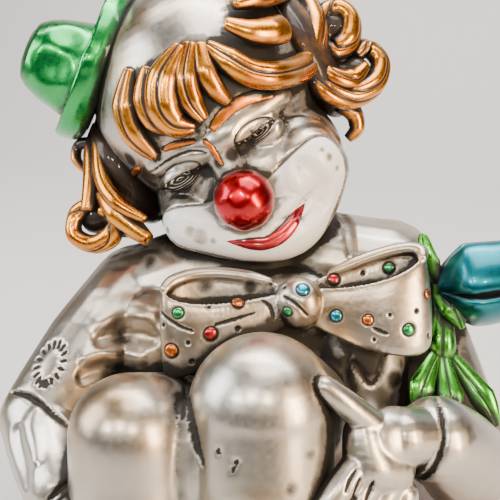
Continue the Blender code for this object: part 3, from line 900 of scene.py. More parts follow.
@dataclass
class Coat:
    """The silver coat and trousers, and the sleeves with the shoulders and collar."""

    skirt: tuple = ((0, 118), (24, 116), (38, 108), (45, 92), (47, 66), (52, 36), (59, 10),
                    (60, -4), (0, -4))
    patch: Pixel = (50.0, 364.0)
    stitches: int = 16
    voxel: float = 1.35
    sleeve_voxel: float = 1.12

    def build(self) -> list[bpy.types.Object]:
        """Model the clothes and engrave their folds."""
        body = Clay()
        body.turned(grid(2, 43, 0), Vector((0, 0, 1)), self.skirt)
        body.ball(grid(0, 36, 98), (52, 38, 36))
        body.ball(grid(2, 44, 92), (48, 45, 34))
        body.ball(grid(48, 24, 78), (26, 26, 40))
        self.trousers(body)
        coat = body.fire("coat", self.voxel, 6, cut=True)
        skin = Skin(coat)
        skin.engrave(((184, 374), (189, 405), (196, 440), (203, 466)), 2.2, 2.4)
        skin.engrave(((345, 388), (352, 362), (372, 385), (385, 352)), 2.0, 1.8)
        skin.engrave(((350, 345), (345, 375), (352, 392)), 2.0, 1.8)
        for x, y in ((218, 452), (236, 463), (233, 470)):
            skin.swell(x, y, 1.8, -1.0, 1.6)
        # Recesses by the vest's fold, under the bow and by the hand are darkened: painted shade,
        # partly patina.
        for x, y, radius, stain in ((370, 362, 16, 0.85), (335, 340, 10, 0.6), (395, 380, 10, 0.7),
                                    (300, 330, 8, 0.6), (292, 488, 7, 0.6), (310, 455, 6, 0.5)):
            skin.shade(x, y, radius, stain)
        skin.commit()
        Finish.SILVER.dress(coat)
        arms = Clay()
        arms.limb(grids((-58, 28, 107), (-2, 42, 124), (54, 52, 119)), [23, 24, 25])
        arms.limb(grids((0, 40, 120), (-8, 42, 146)), [26, 24])
        arms.ball(grid(-46, 14, 82), (29, 27, 36))
        ring = []
        for k in range(8):
            angle = math.radians(-10 + 28 * k)
            ring.append(grid(2 + 33 * math.cos(angle), 40 + 25 * math.sin(angle),
                             131 + 6 * math.cos(angle)))
        arms.limb(ring, [5.5] * len(ring), steps=2)
        self.sleeves(arms)
        sleeves = arms.fire("sleeves", self.sleeve_voxel, 7)
        skin = Skin(sleeves)
        self.fold(skin)
        self.sew_patch(skin)
        skin.commit()
        Finish.SILVER.dress(sleeves)
        return [coat, sleeves]

    @staticmethod
    def sleeves(clay: Clay) -> None:
        """Both sleeves, each with its cuff."""
        for places, radii in (
                (((-60, 28, 107), (-72, -2, 88), (-83, -33, 67)), (23, 22.5, 19)),
                (((-83, -33, 67), (-72, -49, 58), (-60, -62, 52)), (19, 17, 16)),
                (((54, 54, 119), (78, 34, 84), (98, 13, 46)), (25, 22, 21)),
                (((98, 13, 46), (95, -6, 61), (87, -24, 76)), (21, 19.5, 18))):
            clay.limb(grids(*places), radii)

    @staticmethod
    def trousers(clay: Clay) -> None:
        """Both legs, drawn up."""
        for places, radii in (
                (((26, 44, 30), (24, 0, 62), (20, -46, 93)), (30, 29, 29.5)),
                (((-22, 44, 28), (-26, -8, 56), (-31, -60, 81)), (30, 26, 24.5)),
                (((20, -46, 93), (22, -53, 66), (25, -58, 42), (26, -61, 20)),
                 (29, 28.5, 25.5, 21)),
                (((-31, -60, 81), (-30, -62, 60), (-28, -67, 40), (-27, -70, 20)),
                 (24.5, 25.5, 23, 19.5))):
            clay.limb(grids(*places), radii, segments=36)
        clay.ball(grid(-3, -56, 56), (18, 18, 42))

    @staticmethod
    def fold(skin: Skin) -> None:
        """Press the folds of both sleeves and cut their seams."""
        for pixels, width, depth, stain in (
                (((11, 392), (28, 396), (48, 410), (68, 426)), 2.2, 2.2, 1.2),
                (((48, 500), (62, 488), (78, 476)), 2.0, 1.6, 1.2),
                (((437, 396), (443, 425), (441, 450), (430, 473), (405, 483)), 2.0, 2.0, 1.2),
                (((336, 206), (346, 222), (352, 255)), 4.5, 1.4, 0.45),
                (((152, 338), (128, 333), (100, 340)), 9.0, 2.2, 0.3),
                (((122, 374), (100, 368), (82, 378)), 7.0, 2.0, 0.35),
                (((16, 430), (22, 455), (26, 485)), 8.0, 1.6, 0.1)):
            skin.engrave(pixels, width, depth, stain)
        for pixels, width in ((((150, 312), (124, 312), (96, 322)), 11.0),
                              (((140, 358), (112, 354), (84, 358)), 8.0),
                              (((40, 408), (30, 430), (36, 462)), 7.0)):
            skin.engrave(pixels, width, -1.6, 0.0)
        # Places under the chin and in the sleeves' recesses are darkened: painted shade, partly
        # patina.
        for x, y, radius, stain in ((150, 262, 9, 0.6), (146, 300, 7, 0.5), (345, 240, 4, 0.4),
                                    (430, 480, 6, 0.5)):
            skin.shade(x, y, radius, stain)

    def sew_patch(self, skin: Skin) -> None:
        """Raise the oval patch on the right sleeve and stitch it round with short strokes."""
        wide, tall, lean = 11.0, 20.0, math.radians(24)
        skin.swell(*self.patch, 9.0, 0.6)
        for k in range(self.stitches):
            angle = 2 * math.pi * k / self.stitches
            ends = []
            for reach in (0.85, 1.3):
                x, y = math.cos(angle) * wide * reach, math.sin(angle) * tall * reach
                ends.append((self.patch[0] + x * math.cos(lean) - y * math.sin(lean),
                             self.patch[1] + x * math.sin(lean) + y * math.cos(lean)))
            skin.engrave(ends, 1.5, 1.0, 1.3)


@dataclass
class Hands:
    """The left hand spread on the knee and the right hand round the shin."""

    voxel: float = 0.8
    rounds: int = 3

    def build(self) -> bpy.types.Object:
        """Model both hands."""
        clay = Clay()
        palm_turn = frame_along(grid(52, -62, 70) - grid(82, -30, 80), Vector((0, -1, 0)))
        clay.limb([grid(84, -28, 79), grid(74, -38, 83)], [12, 12])
        clay.ball(grid(70, -42, 82), (10, 14, 16), palm_turn)
        clay.limb([grid(60, -48, 88), grid(64, -50, 76), grid(70, -44, 72)], [7.5, 10.5, 11])
        clay.limb([grid(66, -44, 88), grid(54, -51, 101), grid(46, -53, 108)], [6, 5.4, 4.6])
        for k in range(4):
            drop, out = 9.0 * k, 4.5 * k
            clay.limb([grid(63 + out, -49 + k, 81 - 0.7 * drop),
                       grid(55 + out, -61 + k, 72 - drop), grid(47 + out, -69 + k, 62 - drop),
                       grid(38 + out, -76 + k, 54 - drop)], [6.6, 6.2, 5.8, 5.0])
        clay.ball(grid(-48, -74, 45), (12, 12, 15))
        for k in range(4):
            drop = 8.5 * k
            clay.limb([grid(-50, -80, 52 - drop), grid(-42, -89, 48 - drop),
                       grid(-29, -93, 44 - drop), grid(-18, -89, 41 - drop)],
                      [5.4, 5.2, 5.0, 4.6])
        piece = clay.fire("hands", self.voxel, self.rounds)
        skin = Skin(piece)
        for pixels in (((356, 470), (350, 480), (346, 492)), ((361, 478), (356, 490), (352, 502)),
                       ((373, 482), (369, 492), (366, 502))):
            skin.engrave(pixels, 1.3, 1.0, 1.2)
        skin.commit()
        Finish.SILVER.dress(piece)
        return piece


@dataclass
class Shoes:
    """Two long round-toed shoes with thick soles."""

    voxel: float = 1.1

    def build(self) -> bpy.types.Object:
        """Model both shoes."""
        clay = Clay()
        for side, reach in ((1, 0), (-1, -6)):
            clay.ball(grid(28 * side, -70 + reach, 13), (17, 23, 16))
            clay.ball(grid(34 * side, -101 + reach, 13), (21, 25, 17))
            clay.ball(grid(31 * side, -86 + reach, 3), (23, 41, 6))
        piece = clay.fire("shoes", self.voxel, 3, cut=True)
        Skin(piece).commit()
        Finish.HAT.dress(piece)
        return piece


@dataclass
class Head:
    """The head with its painted face."""

    voxel: float = 0.85
    rounds: int = 9
    nose_radius: float = 13.0
    nose_wave: float = 0.18
    muzzle: tuple = ((161, 222), (163, 214), (171, 209), (185, 206), (205, 204), (225, 196),
                     (245, 190), (262, 184), (281, 165), (296, 150), (312, 138), (325, 136),
                     (336, 144), (344, 158), (345, 180), (332, 216), (317, 246), (304, 262),
                     (289, 268), (266, 266), (233, 259), (206, 253), (180, 246), (166, 233),
                     (161, 222))
    parts: list = field(default_factory=list)

    def build(self) -> list[bpy.types.Object]:
        """Model the head, its face, eyes, lips, brows and nose."""
        clay = Clay()
        balls = (((0, -60, 38), (52, 52, 53)), ((1, -44, -2), (45, 38, 37)),
                 ((24, -24, -4), (21, 16, 18)), ((-22, -24, -4), (19, 15, 17)),
                 ((3, -22, -25), (20, 15, 14)), ((2, -16, -13), (20, 13, 10)),
                 ((-52, -56, 16), (5, 9, 13)), ((52, -56, 16), (5, 9, 13)))
        for place, radii in balls:
            clay.ball(head(*place), radii, HEAD_TURN, segments=64)
        for places, radii in (
                (((-28, -24, 27), (-9, -15, 25), (7, -14, 26), (31, -24, 28)), (7, 8, 8, 7)),
                (((0, -17, 30), (0, -13, 20), (0, -9, 8)), (9, 7, 7.5)),
                (((-27, -19, -2), (-10, -13, -15), (7, -15, -25), (21, -24, -21),
                  (31, -27, -10)), (14, 13.5, 12.5, 13, 14.5))):
            clay.limb(heads(*places), radii, steps=8)
        for side in (-19, 19):
            clay.ball(head(side, -17.5, 18), (10, 7, 7), HEAD_TURN)
        piece = clay.fire("head", self.voxel, self.rounds)
        skin = Skin(piece)
        self.carve(skin)
        self.paint(skin)
        skin.commit()
        Finish.FACE.dress(piece)
        self.parts = [piece]
        tree = Skin(piece)
        self.eye(tree, "right_eye", (181, 178), 25.0, 15.0)
        self.eye(tree, "left_eye", (255, 133), 24.0, 13.5)
        self.lips(tree)
        self.brows(tree)
        self.nose()
        return self.parts

    def carve(self, skin: Skin) -> None:
        """Engrave the face's lines and model its dimples."""
        for start in range(0, len(self.muzzle) - 1, 6):
            skin.engrave(self.muzzle[start:start + 8], 1.2, 0.7, 1.1)
        lines = (((268, 128), (280, 114), (298, 99)), ((285, 118), (300, 115), (320, 119)),
                 ((160, 190), (152, 196), (148, 200)))
        for pixels in lines:
            skin.engrave(pixels, 1.0, 0.6)
        # The smile crease is marked with a little painted shade besides being pressed in.
        skin.engrave(((300, 164), (313, 177), (318, 192), (313, 206), (303, 216)), 8.5, 2.6, 0.16)
        skin.swell(296, 187, 10, 1.4)
        skin.engrave(((262, 228), (280, 215), (292, 200)), 4.0, -0.8, 0.0)
        # The sunken sockets, the lines over the lids and places round the eyes and by the hair are
        # darkened: patina, and painted shade in the sockets and under the lids.
        for x, y in ((182, 178), (255, 133)):
            skin.swell(x, y, 11.5, -2.0, 0.6)
        skin.engrave(((150, 174), (168, 160), (190, 151), (207, 153)), 1.3, 0.8, 1.2)
        skin.engrave(((234, 132), (252, 120), (272, 112), (292, 102)), 1.0, 0.5, 0.8)
        for x, y, radius, stain in ((218, 163, 6, 0.7), (232, 154, 7, 0.75), (206, 170, 6, 0.8),
                                    (150, 188, 8, 0.6), (136, 196, 9, 1.0), (130, 160, 8, 0.8),
                                    (196, 190, 7, 0.55), (252, 150, 8, 0.6), (165, 200, 6, 0.45),
                                    (190, 140, 6, 0.5), (228, 118, 5, 0.5), (215, 135, 5, 0.5)):
            skin.shade(x, y, radius, stain)

    def paint(self, skin: Skin) -> None:
        """Mark the white muzzle and the places where its paint is worn off."""
        line = skin.trace(self.muzzle, 6)
        to_head = np.array(HEAD_TURN.transposed())
        nose = np.array(grid(*NOSE_PLACE)[:])
        outline = (line - nose) @ to_head.T
        local = (skin.places - nose) @ to_head.T
        inside = np.zeros(len(local), bool)
        gap = np.full(len(local), 1e9)
        front = np.where(local[:, 1] < 0.055)[0]
        x, y = local[front, 0], local[front, 2]
        hit = np.zeros(len(front), bool)
        away = np.full(len(front), 1e9)
        for a, b in zip(outline, np.roll(outline, -1, 0)):
            ax, ay, bx, by = a[0], a[2], b[0], b[2]
            if abs(by - ay) > 1e-9:
                hit ^= ((ay > y) != (by > y)) & (x < (bx - ax) * (y - ay) / (by - ay) + ax)
            span = (bx - ax) ** 2 + (by - ay) ** 2 + 1e-12
            t = np.clip(((x - ax) * (bx - ax) + (y - ay) * (by - ay)) / span, 0, 1)
            away = np.minimum(away, np.hypot(x - ax - t * (bx - ax), y - ay - t * (by - ay)))
        inside[front], gap[front] = hit, away
        skin.marks["white"] = np.where(inside, np.clip(gap / (0.5 * GRID), 0, 1), 0.0)
        worn = np.zeros(len(local))
        for x, y, radius in ((200, 237, 4.4), (190, 232, 3.2), (329, 157, 2.2), (337, 168, 1.4),
                             (213, 241, 1.8), (168, 230, 1.8), (322, 150, 1.4)):
            found, share = skin.near(np.array([skin.meet(x, y)[0][:]]), radius * GRID)
            worn[found] = np.maximum(worn[found], 1 - share ** 2)
        skin.marks["worn"] = worn

    def relief(self, skin: Skin, name: str, where: Callable, lift: Callable, stain: Callable,
               segments: tuple[int, int]) -> bpy.types.Object:
        """Lay a small modelled sheet on the face.

        Args:
            skin: The surface that carries it.
            name: The piece's name.
            where: Gives the pixel for a place along and across the sheet, each -1 to 1.
            lift: Gives the height above the surface in millimetres.
            stain: Gives how dark the patina and painted shade are.
            segments: Divisions along and across.

        Returns:
            The piece, closed behind.
        """
        bm = bmesh.new()
        bmesh.ops.create_grid(bm, x_segments=segments[0], y_segments=segments[1], size=1.0)
        stains = []
        for vert in bm.verts:
            along, across = vert.co.x, vert.co.y
            place, normal = skin.meet(*where(along, across))
            if normal.dot(VIEW.ray(250, 250)) > 0:
                normal = -normal
            vert.co = place + normal * lift(along, across) * GRID
            stains.append(stain(along, across))
        bmesh.ops.recalc_face_normals(bm, faces=bm.faces[:])
        if sum((face.normal for face in bm.faces), Vector()).dot(VIEW.ray(250, 250)) > 0:
            bmesh.ops.reverse_faces(bm, faces=bm.faces[:])
        piece = object_from(name, bm)
        write_mark(piece.data, "stain", np.array(stains))
        thick = piece.modifiers.new("Thick", "SOLIDIFY")
        thick.thickness = SHEET_THICKNESS
        thick.offset = -1.0
        apply_modifiers(piece)
        piece.data.shade_smooth()
        self.parts.append(piece)
        return piece

    def eye(self, skin: Skin, name: str, centre: Pixel, wide: float, tall: float) -> None:
        """One half-closed eye: heavy lid, dark slit with a ringed iris, and bags below."""
        lean = math.radians(-31)

        def where(u: float, v: float) -> Pixel:
            x, y = u * wide, -v * tall
            return (centre[0] + x * math.cos(lean) - y * math.sin(lean),
                    centre[1] + x * math.sin(lean) + y * math.cos(lean))

        def almond(u: float, v: float) -> float:
            return 1 - u * u - (v / 0.98) ** 2

        def waves(u: float, v: float) -> float:
            lid = 0.12 * (1 - u * u) + 0.06
            if v > lid:
                return 0.35 + 0.65 * min(1.0, (v - lid) / 0.12)
            ring = math.hypot(u * 1.25, (v + 0.02) * 1.9)
            return 0.5 + 0.5 * math.cos(2 * math.pi * ring / 0.30 + math.pi)

        def lift(u: float, v: float) -> float:
            body = max(0.0, almond(u, v))
            bag = 0.5 if v < 0 else 1.15
            return -0.5 + 2.4 * body ** 0.5 * bag * (0.64 + 0.36 * waves(u, v))

        # Dark pupil and patina in the ringed lines; the dark line under the lid's edge and the
        # darkening towards the eye's border are painted shade.
        def stain(u: float, v: float) -> float:
            pupil = 1.5 if math.hypot(u * 1.25, (v + 0.02) * 1.9) < 0.13 else 0.0
            lines = 1.7 * (1 - waves(u, v)) ** 1.2
            return max(pupil, lines) + max(0.0, 0.40 - almond(u, v)) * 1.9

        Finish.SILVER.dress(self.relief(skin, name, where, lift, stain, (84, 56)))

    def lips(self, skin: Skin) -> None:
        """The red smile, thin at its corners, with a groove between the lips."""
        upper = flat_path(((225, 241), (240, 239), (256, 237), (268, 235), (280, 225), (292, 212),
                           (306, 202)), 8)
        lower = flat_path(((225, 241), (238, 246), (252, 250), (267, 250), (284, 243), (298, 227),
                           (306, 202)), 8)

        def where(u: float, v: float) -> Pixel:
            index = (u * 0.5 + 0.5) * (len(upper) - 1)
            low = min(int(index), len(upper) - 2)
            part = index - low
            top = upper[low].lerp(upper[low + 1], part)
            bottom = lower[low].lerp(lower[low + 1], part)
            place = bottom.lerp(top, v * 0.5 + 0.5)
            return place.x, place.y

        def lift(u: float, v: float) -> float:
            full = max(0.0, 1 - v * v) ** 0.45 * max(0.0, 1 - u ** 4)
            groove = 0.55 * math.exp(-((v - 0.15) / 0.12) ** 2) * max(0.0, 1 - u * u)
            return -0.25 + 1.5 * full - groove

        def stain(u: float, v: float) -> float:
            return 0.55 * math.exp(-((v - 0.15) / 0.10) ** 2) + (0.5 if abs(v) > DARK_RIM_FROM else 0)

        Finish.LIPS.dress(self.relief(skin, "lips", where, lift, stain, (90, 24)))

    def brows(self, skin: Skin) -> None:
        """Raised painted eyebrows and the spot at the end of the right one."""
        shapes = (("left_brow", ((211, 131), (222, 116), (238, 103), (256, 96), (275, 95)),
                   (4.5, 7.0, 7.5, 7.0, 2.5)),
                  ("bridge_line", ((203, 139), (210, 146), (217, 156), (223, 166)),
                   (1.5, 3.4, 3.2, 1.2)),
                  ("right_brow", ((163, 150), (172, 146), (184, 143), (196, 141)),
                   (2.5, 4.5, 4.0, 2.0)),
                  ("brow_spot", ((133, 176), (136, 171), (141, 168)), (2.5, 4.5, 2.5)))
        for name, middle, widths in shapes:
            line = flat_path(middle, 8)
            sizes = spread(widths, 8)

            def where(u: float, v: float, line: list = line, sizes: list = sizes) -> Pixel:
                index = (u * 0.5 + 0.5) * (len(line) - 1)
                low = min(int(index), len(line) - 2)
                place = line[low].lerp(line[low + 1], index - low)
                along = (line[low + 1] - line[low]).normalized()
                return (place.x + along.y * v * sizes[low], place.y - along.x * v * sizes[low])

            def lift(u: float, v: float) -> float:
                return -0.3 + 1.3 * max(0.0, 1 - v * v) ** 0.5 * max(0.0, 1 - u ** 6) ** 0.5

            def stain(u: float, v: float) -> float:
                return 0.5 if abs(v) > DARK_RIM_FROM else 0.0

            Finish.BROW.dress(self.relief(skin, name, where, lift, stain, (48, 12)))

    def nose(self) -> None:
        """The glossy ball nose, very slightly uneven as enamel is."""
        bm = bmesh.new()
        centre = head(0, 0, 0)
        bmesh.ops.create_uvsphere(bm, u_segments=96, v_segments=64,
                                  radius=self.nose_radius * GRID,
                                  matrix=Matrix.Translation(centre))
        for vert in bm.verts:
            out = (vert.co - centre).normalized()
            wave = math.sin(out.x * 9 + 1) * math.sin(out.z * 8 + 2)
            vert.co += out * self.nose_wave * GRID * wave
        piece = object_from("nose", bm)
        write_mark(piece.data, "stain", np.zeros(len(piece.data.vertices)))
        Finish.NOSE.dress(piece)
        self.parts.append(piece)


@dataclass
class Hat:
    """A small bowler with a rolled brim and a dented crown."""

    axis: Place = (-0.859, -0.315, 0.398)
    brim_place: Place = (-82.5, 47.5, 211.3)
    brim: tuple = ((0, 3), (25, 2.5), (29, 2.2), (33, 4), (35, 7.6), (36.6, 9), (37.9, 7.6),
                   (38.2, 3), (37.2, -1.4), (34, -4.4), (28, -5.4), (0, -5.8))
    crown_place: Place = (-82, 45.5, 205)
    crown: tuple = ((0, 37), (8, 36.5), (13.5, 34.5), (17, 30), (19.5, 24), (22, 15), (24, 7),
                    (25, 3), (25, -3), (0, -3))
    voxel: float = 0.85
    dents: tuple = ((50, 66, 12, -2.4), (68, 36, 9, -1.2), (60, 98, 8, -0.9), (84, 60, 7, 0.8))

    def build(self) -> bpy.types.Object:
        """Turn the brim and crown, join them and press the dents."""
        clay = Clay()
        clay.turned(grid(*self.brim_place), Vector(self.axis), self.brim, 96)
        clay.turned(grid(*self.crown_place), Vector(self.axis), self.crown, 96)
        piece = clay.fire("hat", self.voxel, 5)
        skin = Skin(piece)
        for x, y, radius, height in self.dents:
            skin.swell(x, y, radius, height)
        skin.commit()
        Finish.HAT.dress(piece)
        return piece


@dataclass
class Hair:
    """Fringe, swept and hanging locks, and curls behind; the crown stays bald."""

    fringe: tuple = (
        (((-17, -22, 68), (-26, -18, 56), (-29, -15, 44), (-26, -14, 31)), (3, 7, 6, 2.2), 2),
        (((-9, -15, 66), (-17, -12, 56), (-18, -9, 46), (-12, -8, 38)), (3, 4.5, 4, 1.8), 1),
        (((8, -13, 67), (-4, -8, 60), (-10, -5, 50), (-9, -4, 41), (-3, -4, 36)),
         (3, 7, 7.5, 6, 2.2), 2),
        (((12, -13, 66), (4, -7, 56), (1, -5, 46), (2, -4, 37)), (3, 5.5, 5.5, 2.2), 2),
        (((15, -13, 64), (12, -8, 54), (12, -7, 46), (14, -8, 38)), (3, 5, 4.5, 2.2), 1),
    )
    swept: tuple = (
        (((17, -13, 62), (22, -10, 53), (28, -11, 43), (37, -17, 36), (47, -37, 31),
          (54, -47, 35), (60, -59, 43), (61, -69, 53)), (2.5, 5.5, 6, 6, 6.5, 7, 7, 5), 2),
        (((28, -16, 66), (35, -17, 58), (42, -22, 53), (46, -27, 51)), (2.5, 5, 6.5, 6.5), 1),
        (((34, -26, 70), (45, -35, 66), (53, -55, 62)), (3, 5.5, 6), 2),
        (((55, -55, 33), (62, -61, 41), (71, -64, 42), (74, -62, 35), (69, -56, 28),
          (61, -52, 28), (59, -56, 33)), (3, 5, 6, 6, 6, 5, 2.5), 2),
        (((46, -43, 28), (50, -40, 17), (58, -43, 8), (70, -49, 6), (77, -56, 12), (75, -58, 20),
          (69, -54, 20)), (4, 6, 6, 6, 5.5, 5, 2.5), 3),
        (((53, -47, 30), (55, -42, 21), (62, -44, 14), (71, -50, 15)), (3, 4.5, 5, 2.5), 2),
        (((52, -46, 7), (56, -49, -1), (54, -48, -8), (48, -47, -10)), (4, 5, 4.5, 2.5), 2),
        (((64, -64, 20), (74, -68, 20), (76, -67, 15)), (5, 4.5, 3), 1),
    )
    hanging: tuple = (
        (((-44, -59, 56), (-52, -49, 45), (-57, -35, 31), (-54, -24, 20), (-45, -16, 9)),
         (3.5, 4.2, 4.4, 4.6, 1.8), 1),
        (((-52, -59, 50), (-58, -51, 42), (-63, -40, 31), (-70, -32, 21)), (3, 5.2, 5.8, 5), 2),
        (((-60, -35, 25), (-57, -26, 14), (-49, -17, 0)), (5, 8.0, 3.5), 2),
        (((-69, -33, 24), (-77, -33, 22), (-81, -30, 15), (-75, -27, 8), (-65, -24, 8),
          (-59, -25, 14), (-64, -28, 20)), (3.5, 4.5, 5, 5, 5, 4, 2.5), 2),
        (((-58, -56, 45), (-65, -60, 46), (-69, -57, 41), (-66, -52, 34)), (2.5, 3, 3, 2), 1),
    )
    masses: tuple = (
        ((0, -86, 16), (54, 34, 38)), ((50, -62, 30), (13, 28, 34)),
        ((-50, -58, 24), (14, 26, 30)), ((66, -62, 35), (9, 8, 9)), ((64, -54, 14), (10, 8, 9)),
        ((-70, -36, 16), (9, 7, 9)), ((-60, -40, 12), (11, 12, 14)),
    )
    rows: tuple = ((38, 54.0, 13.0), (14, 54.0, 13.0), (-8, 44.0, 12.0))
    curls_in_row: int = 6
    mass_voxel: float = 1.8

    def build(self) -> list[bpy.types.Object]:
        """Model the dark mass behind and sweep every lock and curl over it."""
        clay = Clay()
        for place, radii in self.masses:
            shrunk = tuple(radius - 1.5 for radius in radii)
            clay.ball(head(*place), shrunk, HEAD_TURN)
        mass = clay.fire("hair_mass", self.mass_voxel, 3)
        Skin(mass).commit()
        # The mass behind the locks is darkened all over: painted shade and patina in the gaps between
        # the locks.
        write_mark(mass.data, "stain", np.full(len(mass.data.vertices), 0.62))
        Finish.HAIR.dress(mass)
        bundle = Bundle()
        middle = head(0, -60, 30)
        for locks in (self.fringe, self.swept, self.hanging):
            for places, radii, ribs in locks:
                bundle.lay(Lock(ribs=ribs, flat=0.85), heads(*places), radii,
                           lambda place: place - middle)
        for row, (up, reach, size) in enumerate(self.rows):
            for k in range(self.curls_in_row):
                angle = math.radians(25 + 26 * k + 8 * row)
                out = Vector((math.cos(angle), -math.sin(angle), 0))
                place = head(out.x * reach, -60 + out.y * reach, up)
                axis = HEAD_TURN @ Vector((out.x, -out.y, 0.1))
                self.curl(bundle, place, axis, 70 * k + 40 * row, size, 7)
        locks = bundle.close("hair")
        Finish.HAIR.dress(locks)
        return [mass, locks]

    @staticmethod
    def curl(bundle: Bundle, centre: Vector, axis: Vector, start: float, radius: float,
             thick: float) -> None:
        """Sweep one curl that winds inwards round its axis."""
        turn = frame_along(axis)
        points, radii = [], []
        for k in range(9):
            share = k / 8
            angle = math.radians(start + 400 * share)
            reach = radius * (1.0 - 0.62 * share) * GRID
            rise = turn @ Vector((0, 0, thick * 0.5 * share)) * GRID
            points.append(centre + turn @ Vector((math.cos(angle), math.sin(angle), 0)) * reach
                          + rise)
            radii.append(thick * (1.0 - 0.55 * share) * (0.55 if k == 0 else 1.0))
        bundle.lay(Lock(ribs=2, flat=0.8, segments=28, steps=4), points, radii,
                   lambda place: place - centre + turn.col[2] * 0.01)


@dataclass
class Bow:
    """The big bow tie with its enamel dots."""

    thickness: float = 2.3
    steps: int = 90
    voxel: float = 0.7
    dome: float = 0.42
    setting: float = 1.75
    dots: tuple = (
        (Finish.TEAL_DOT, ((303, 289, 2.7), (336, 316, 2.5), (151, 317, 2.2))),
        (Finish.GREEN_DOT, ((287, 312, 2.0), (178, 313, 2.3), (389, 268, 2.5), (409, 330, 2.5))),
        (Finish.ORANGE_DOT, ((238, 302, 2.6), (171, 351, 2.9), (368, 320, 2.2),
                             (428, 294, 1.9))),
        (Finish.RED_DOT, ((211, 334, 2.8), (334, 280, 2.6), (441, 325, 2.0))),
    )
    pits: tuple = ((209, 307), (163, 325), (188, 343), (151, 352), (238, 329), (192, 362),
                   (363, 273), (390, 315), (417, 311), (429, 335), (374, 340), (284, 287))

    def build(self) -> list[bpy.types.Object]:
        """Model the bow, engrave it and set its dots."""
        clay = Clay()
        knot = grid(25, -3, 121)
        clay.ball(knot, (11, 10, 11.5))
        back = Vector((0.1, 1.0, 0.52)) * 22 * GRID
        self.loop(clay, knot, grid(-29, -24, 110), grid(-29, -20, 130), grid(-26, -28, 94), back)
        self.loop(clay, knot, grid(76, 10, 121), grid(74, 14, 142), grid(80, 4, 104), back)
        piece = clay.fire("bow", self.voxel, 4)
        skin = Skin(piece)
        lines = (((155, 306), (166, 317), (180, 326), (193, 331)),
                 ((215, 325), (232, 320), (255, 313)), ((283, 296), (295, 303), (308, 316)),
                 ((373, 328), (380, 331), (388, 334)), ((262, 300), (270, 306), (274, 318)))
        for pixels in lines:
            skin.engrave(pixels, 1.2, 1.0, 1.3)
        for x, y in self.pits:
            skin.swell(x, y, 1.4, -1.1, 1.5)
        # Places inside the bow's loops and under the chin are darkened: painted shade, partly patina.
        for x, y, radius, stain in ((270, 322, 6, 0.7), (282, 306, 5, 0.45), (205, 285, 9, 0.6),
                                    (250, 287, 8, 0.7), (330, 318, 6, 0.6), (350, 285, 5, 0.4)):
            skin.shade(x, y, radius, stain)
        settings = []
        for finish, spots in self.dots:
            for x, y, radius in spots:
                place, normal = skin.meet(x, y)
                settings.append((finish, place, normal, radius))
                skin.press(np.array([place[:]]), radius * self.setting, 0.6, 2.0)
        skin.commit()
        Finish.SILVER.dress(piece)
        return [piece, *self.set_dots(settings)]

    def loop(self, clay: Clay, knot: Vector, end: Vector, upper: Vector, lower: Vector,
             back: Vector) -> None:
        """One loop: a tall ribbon that runs out, turns and comes back behind."""
        path, rises = [], []
        for k in range(self.steps):
            angle = math.pi * 2 * k / self.steps
            along = 0.5 - 0.5 * math.cos(angle)
            centre = knot.lerp(end, along) - back * 0.5 * math.sin(angle) * along ** 0.6
            path.append(centre + (upper + lower - 2 * end) * 0.5 * along)
            rises.append((upper - lower) * (0.17 + 0.33 * along))
        clay.ribbon(path, rises, self.thickness, back)
        rim = [place + rise * 0.93 for place, rise in zip(path, rises)][self.steps // 2::5]
        clay.limb([rim[0], *rim[1:-2]], [2.4, *[3.0] * (len(rim) - 4), 2.0], steps=3)
        heart = knot.lerp(end, 0.6) + (lower - end) * 0.45
        reach = (end - knot).length / GRID
        clay.ball(heart, (reach * 0.36, 8, 12), frame_along(Vector((0, 0, 1)), end - knot))

    def set_dots(self, settings: Sequence[tuple]) -> list[bpy.types.Object]:
        """Set a low enamel dome in each hollow, one piece for each colour."""
        pieces = []
        for finish, _ in self.dots:
            bundle = Bundle()
            for kind, place, normal, radius in settings:
                if kind is not finish:
                    continue
                form = bmesh.new()
                size = Matrix.Diagonal((radius * GRID, radius * GRID,
                                        radius * self.dome * GRID, 1))
                turn = frame_along(normal).to_4x4()
                bmesh.ops.create_uvsphere(
                    form, u_segments=32, v_segments=16, radius=1.0,
                    matrix=Matrix.Translation(place - normal * 0.0003) @ turn @ size)
                bundle.add(form, [0.0] * len(form.verts))
            piece = bundle.close(finish.value.name + "s")
            finish.dress(piece)
            pieces.append(piece)
        return pieces


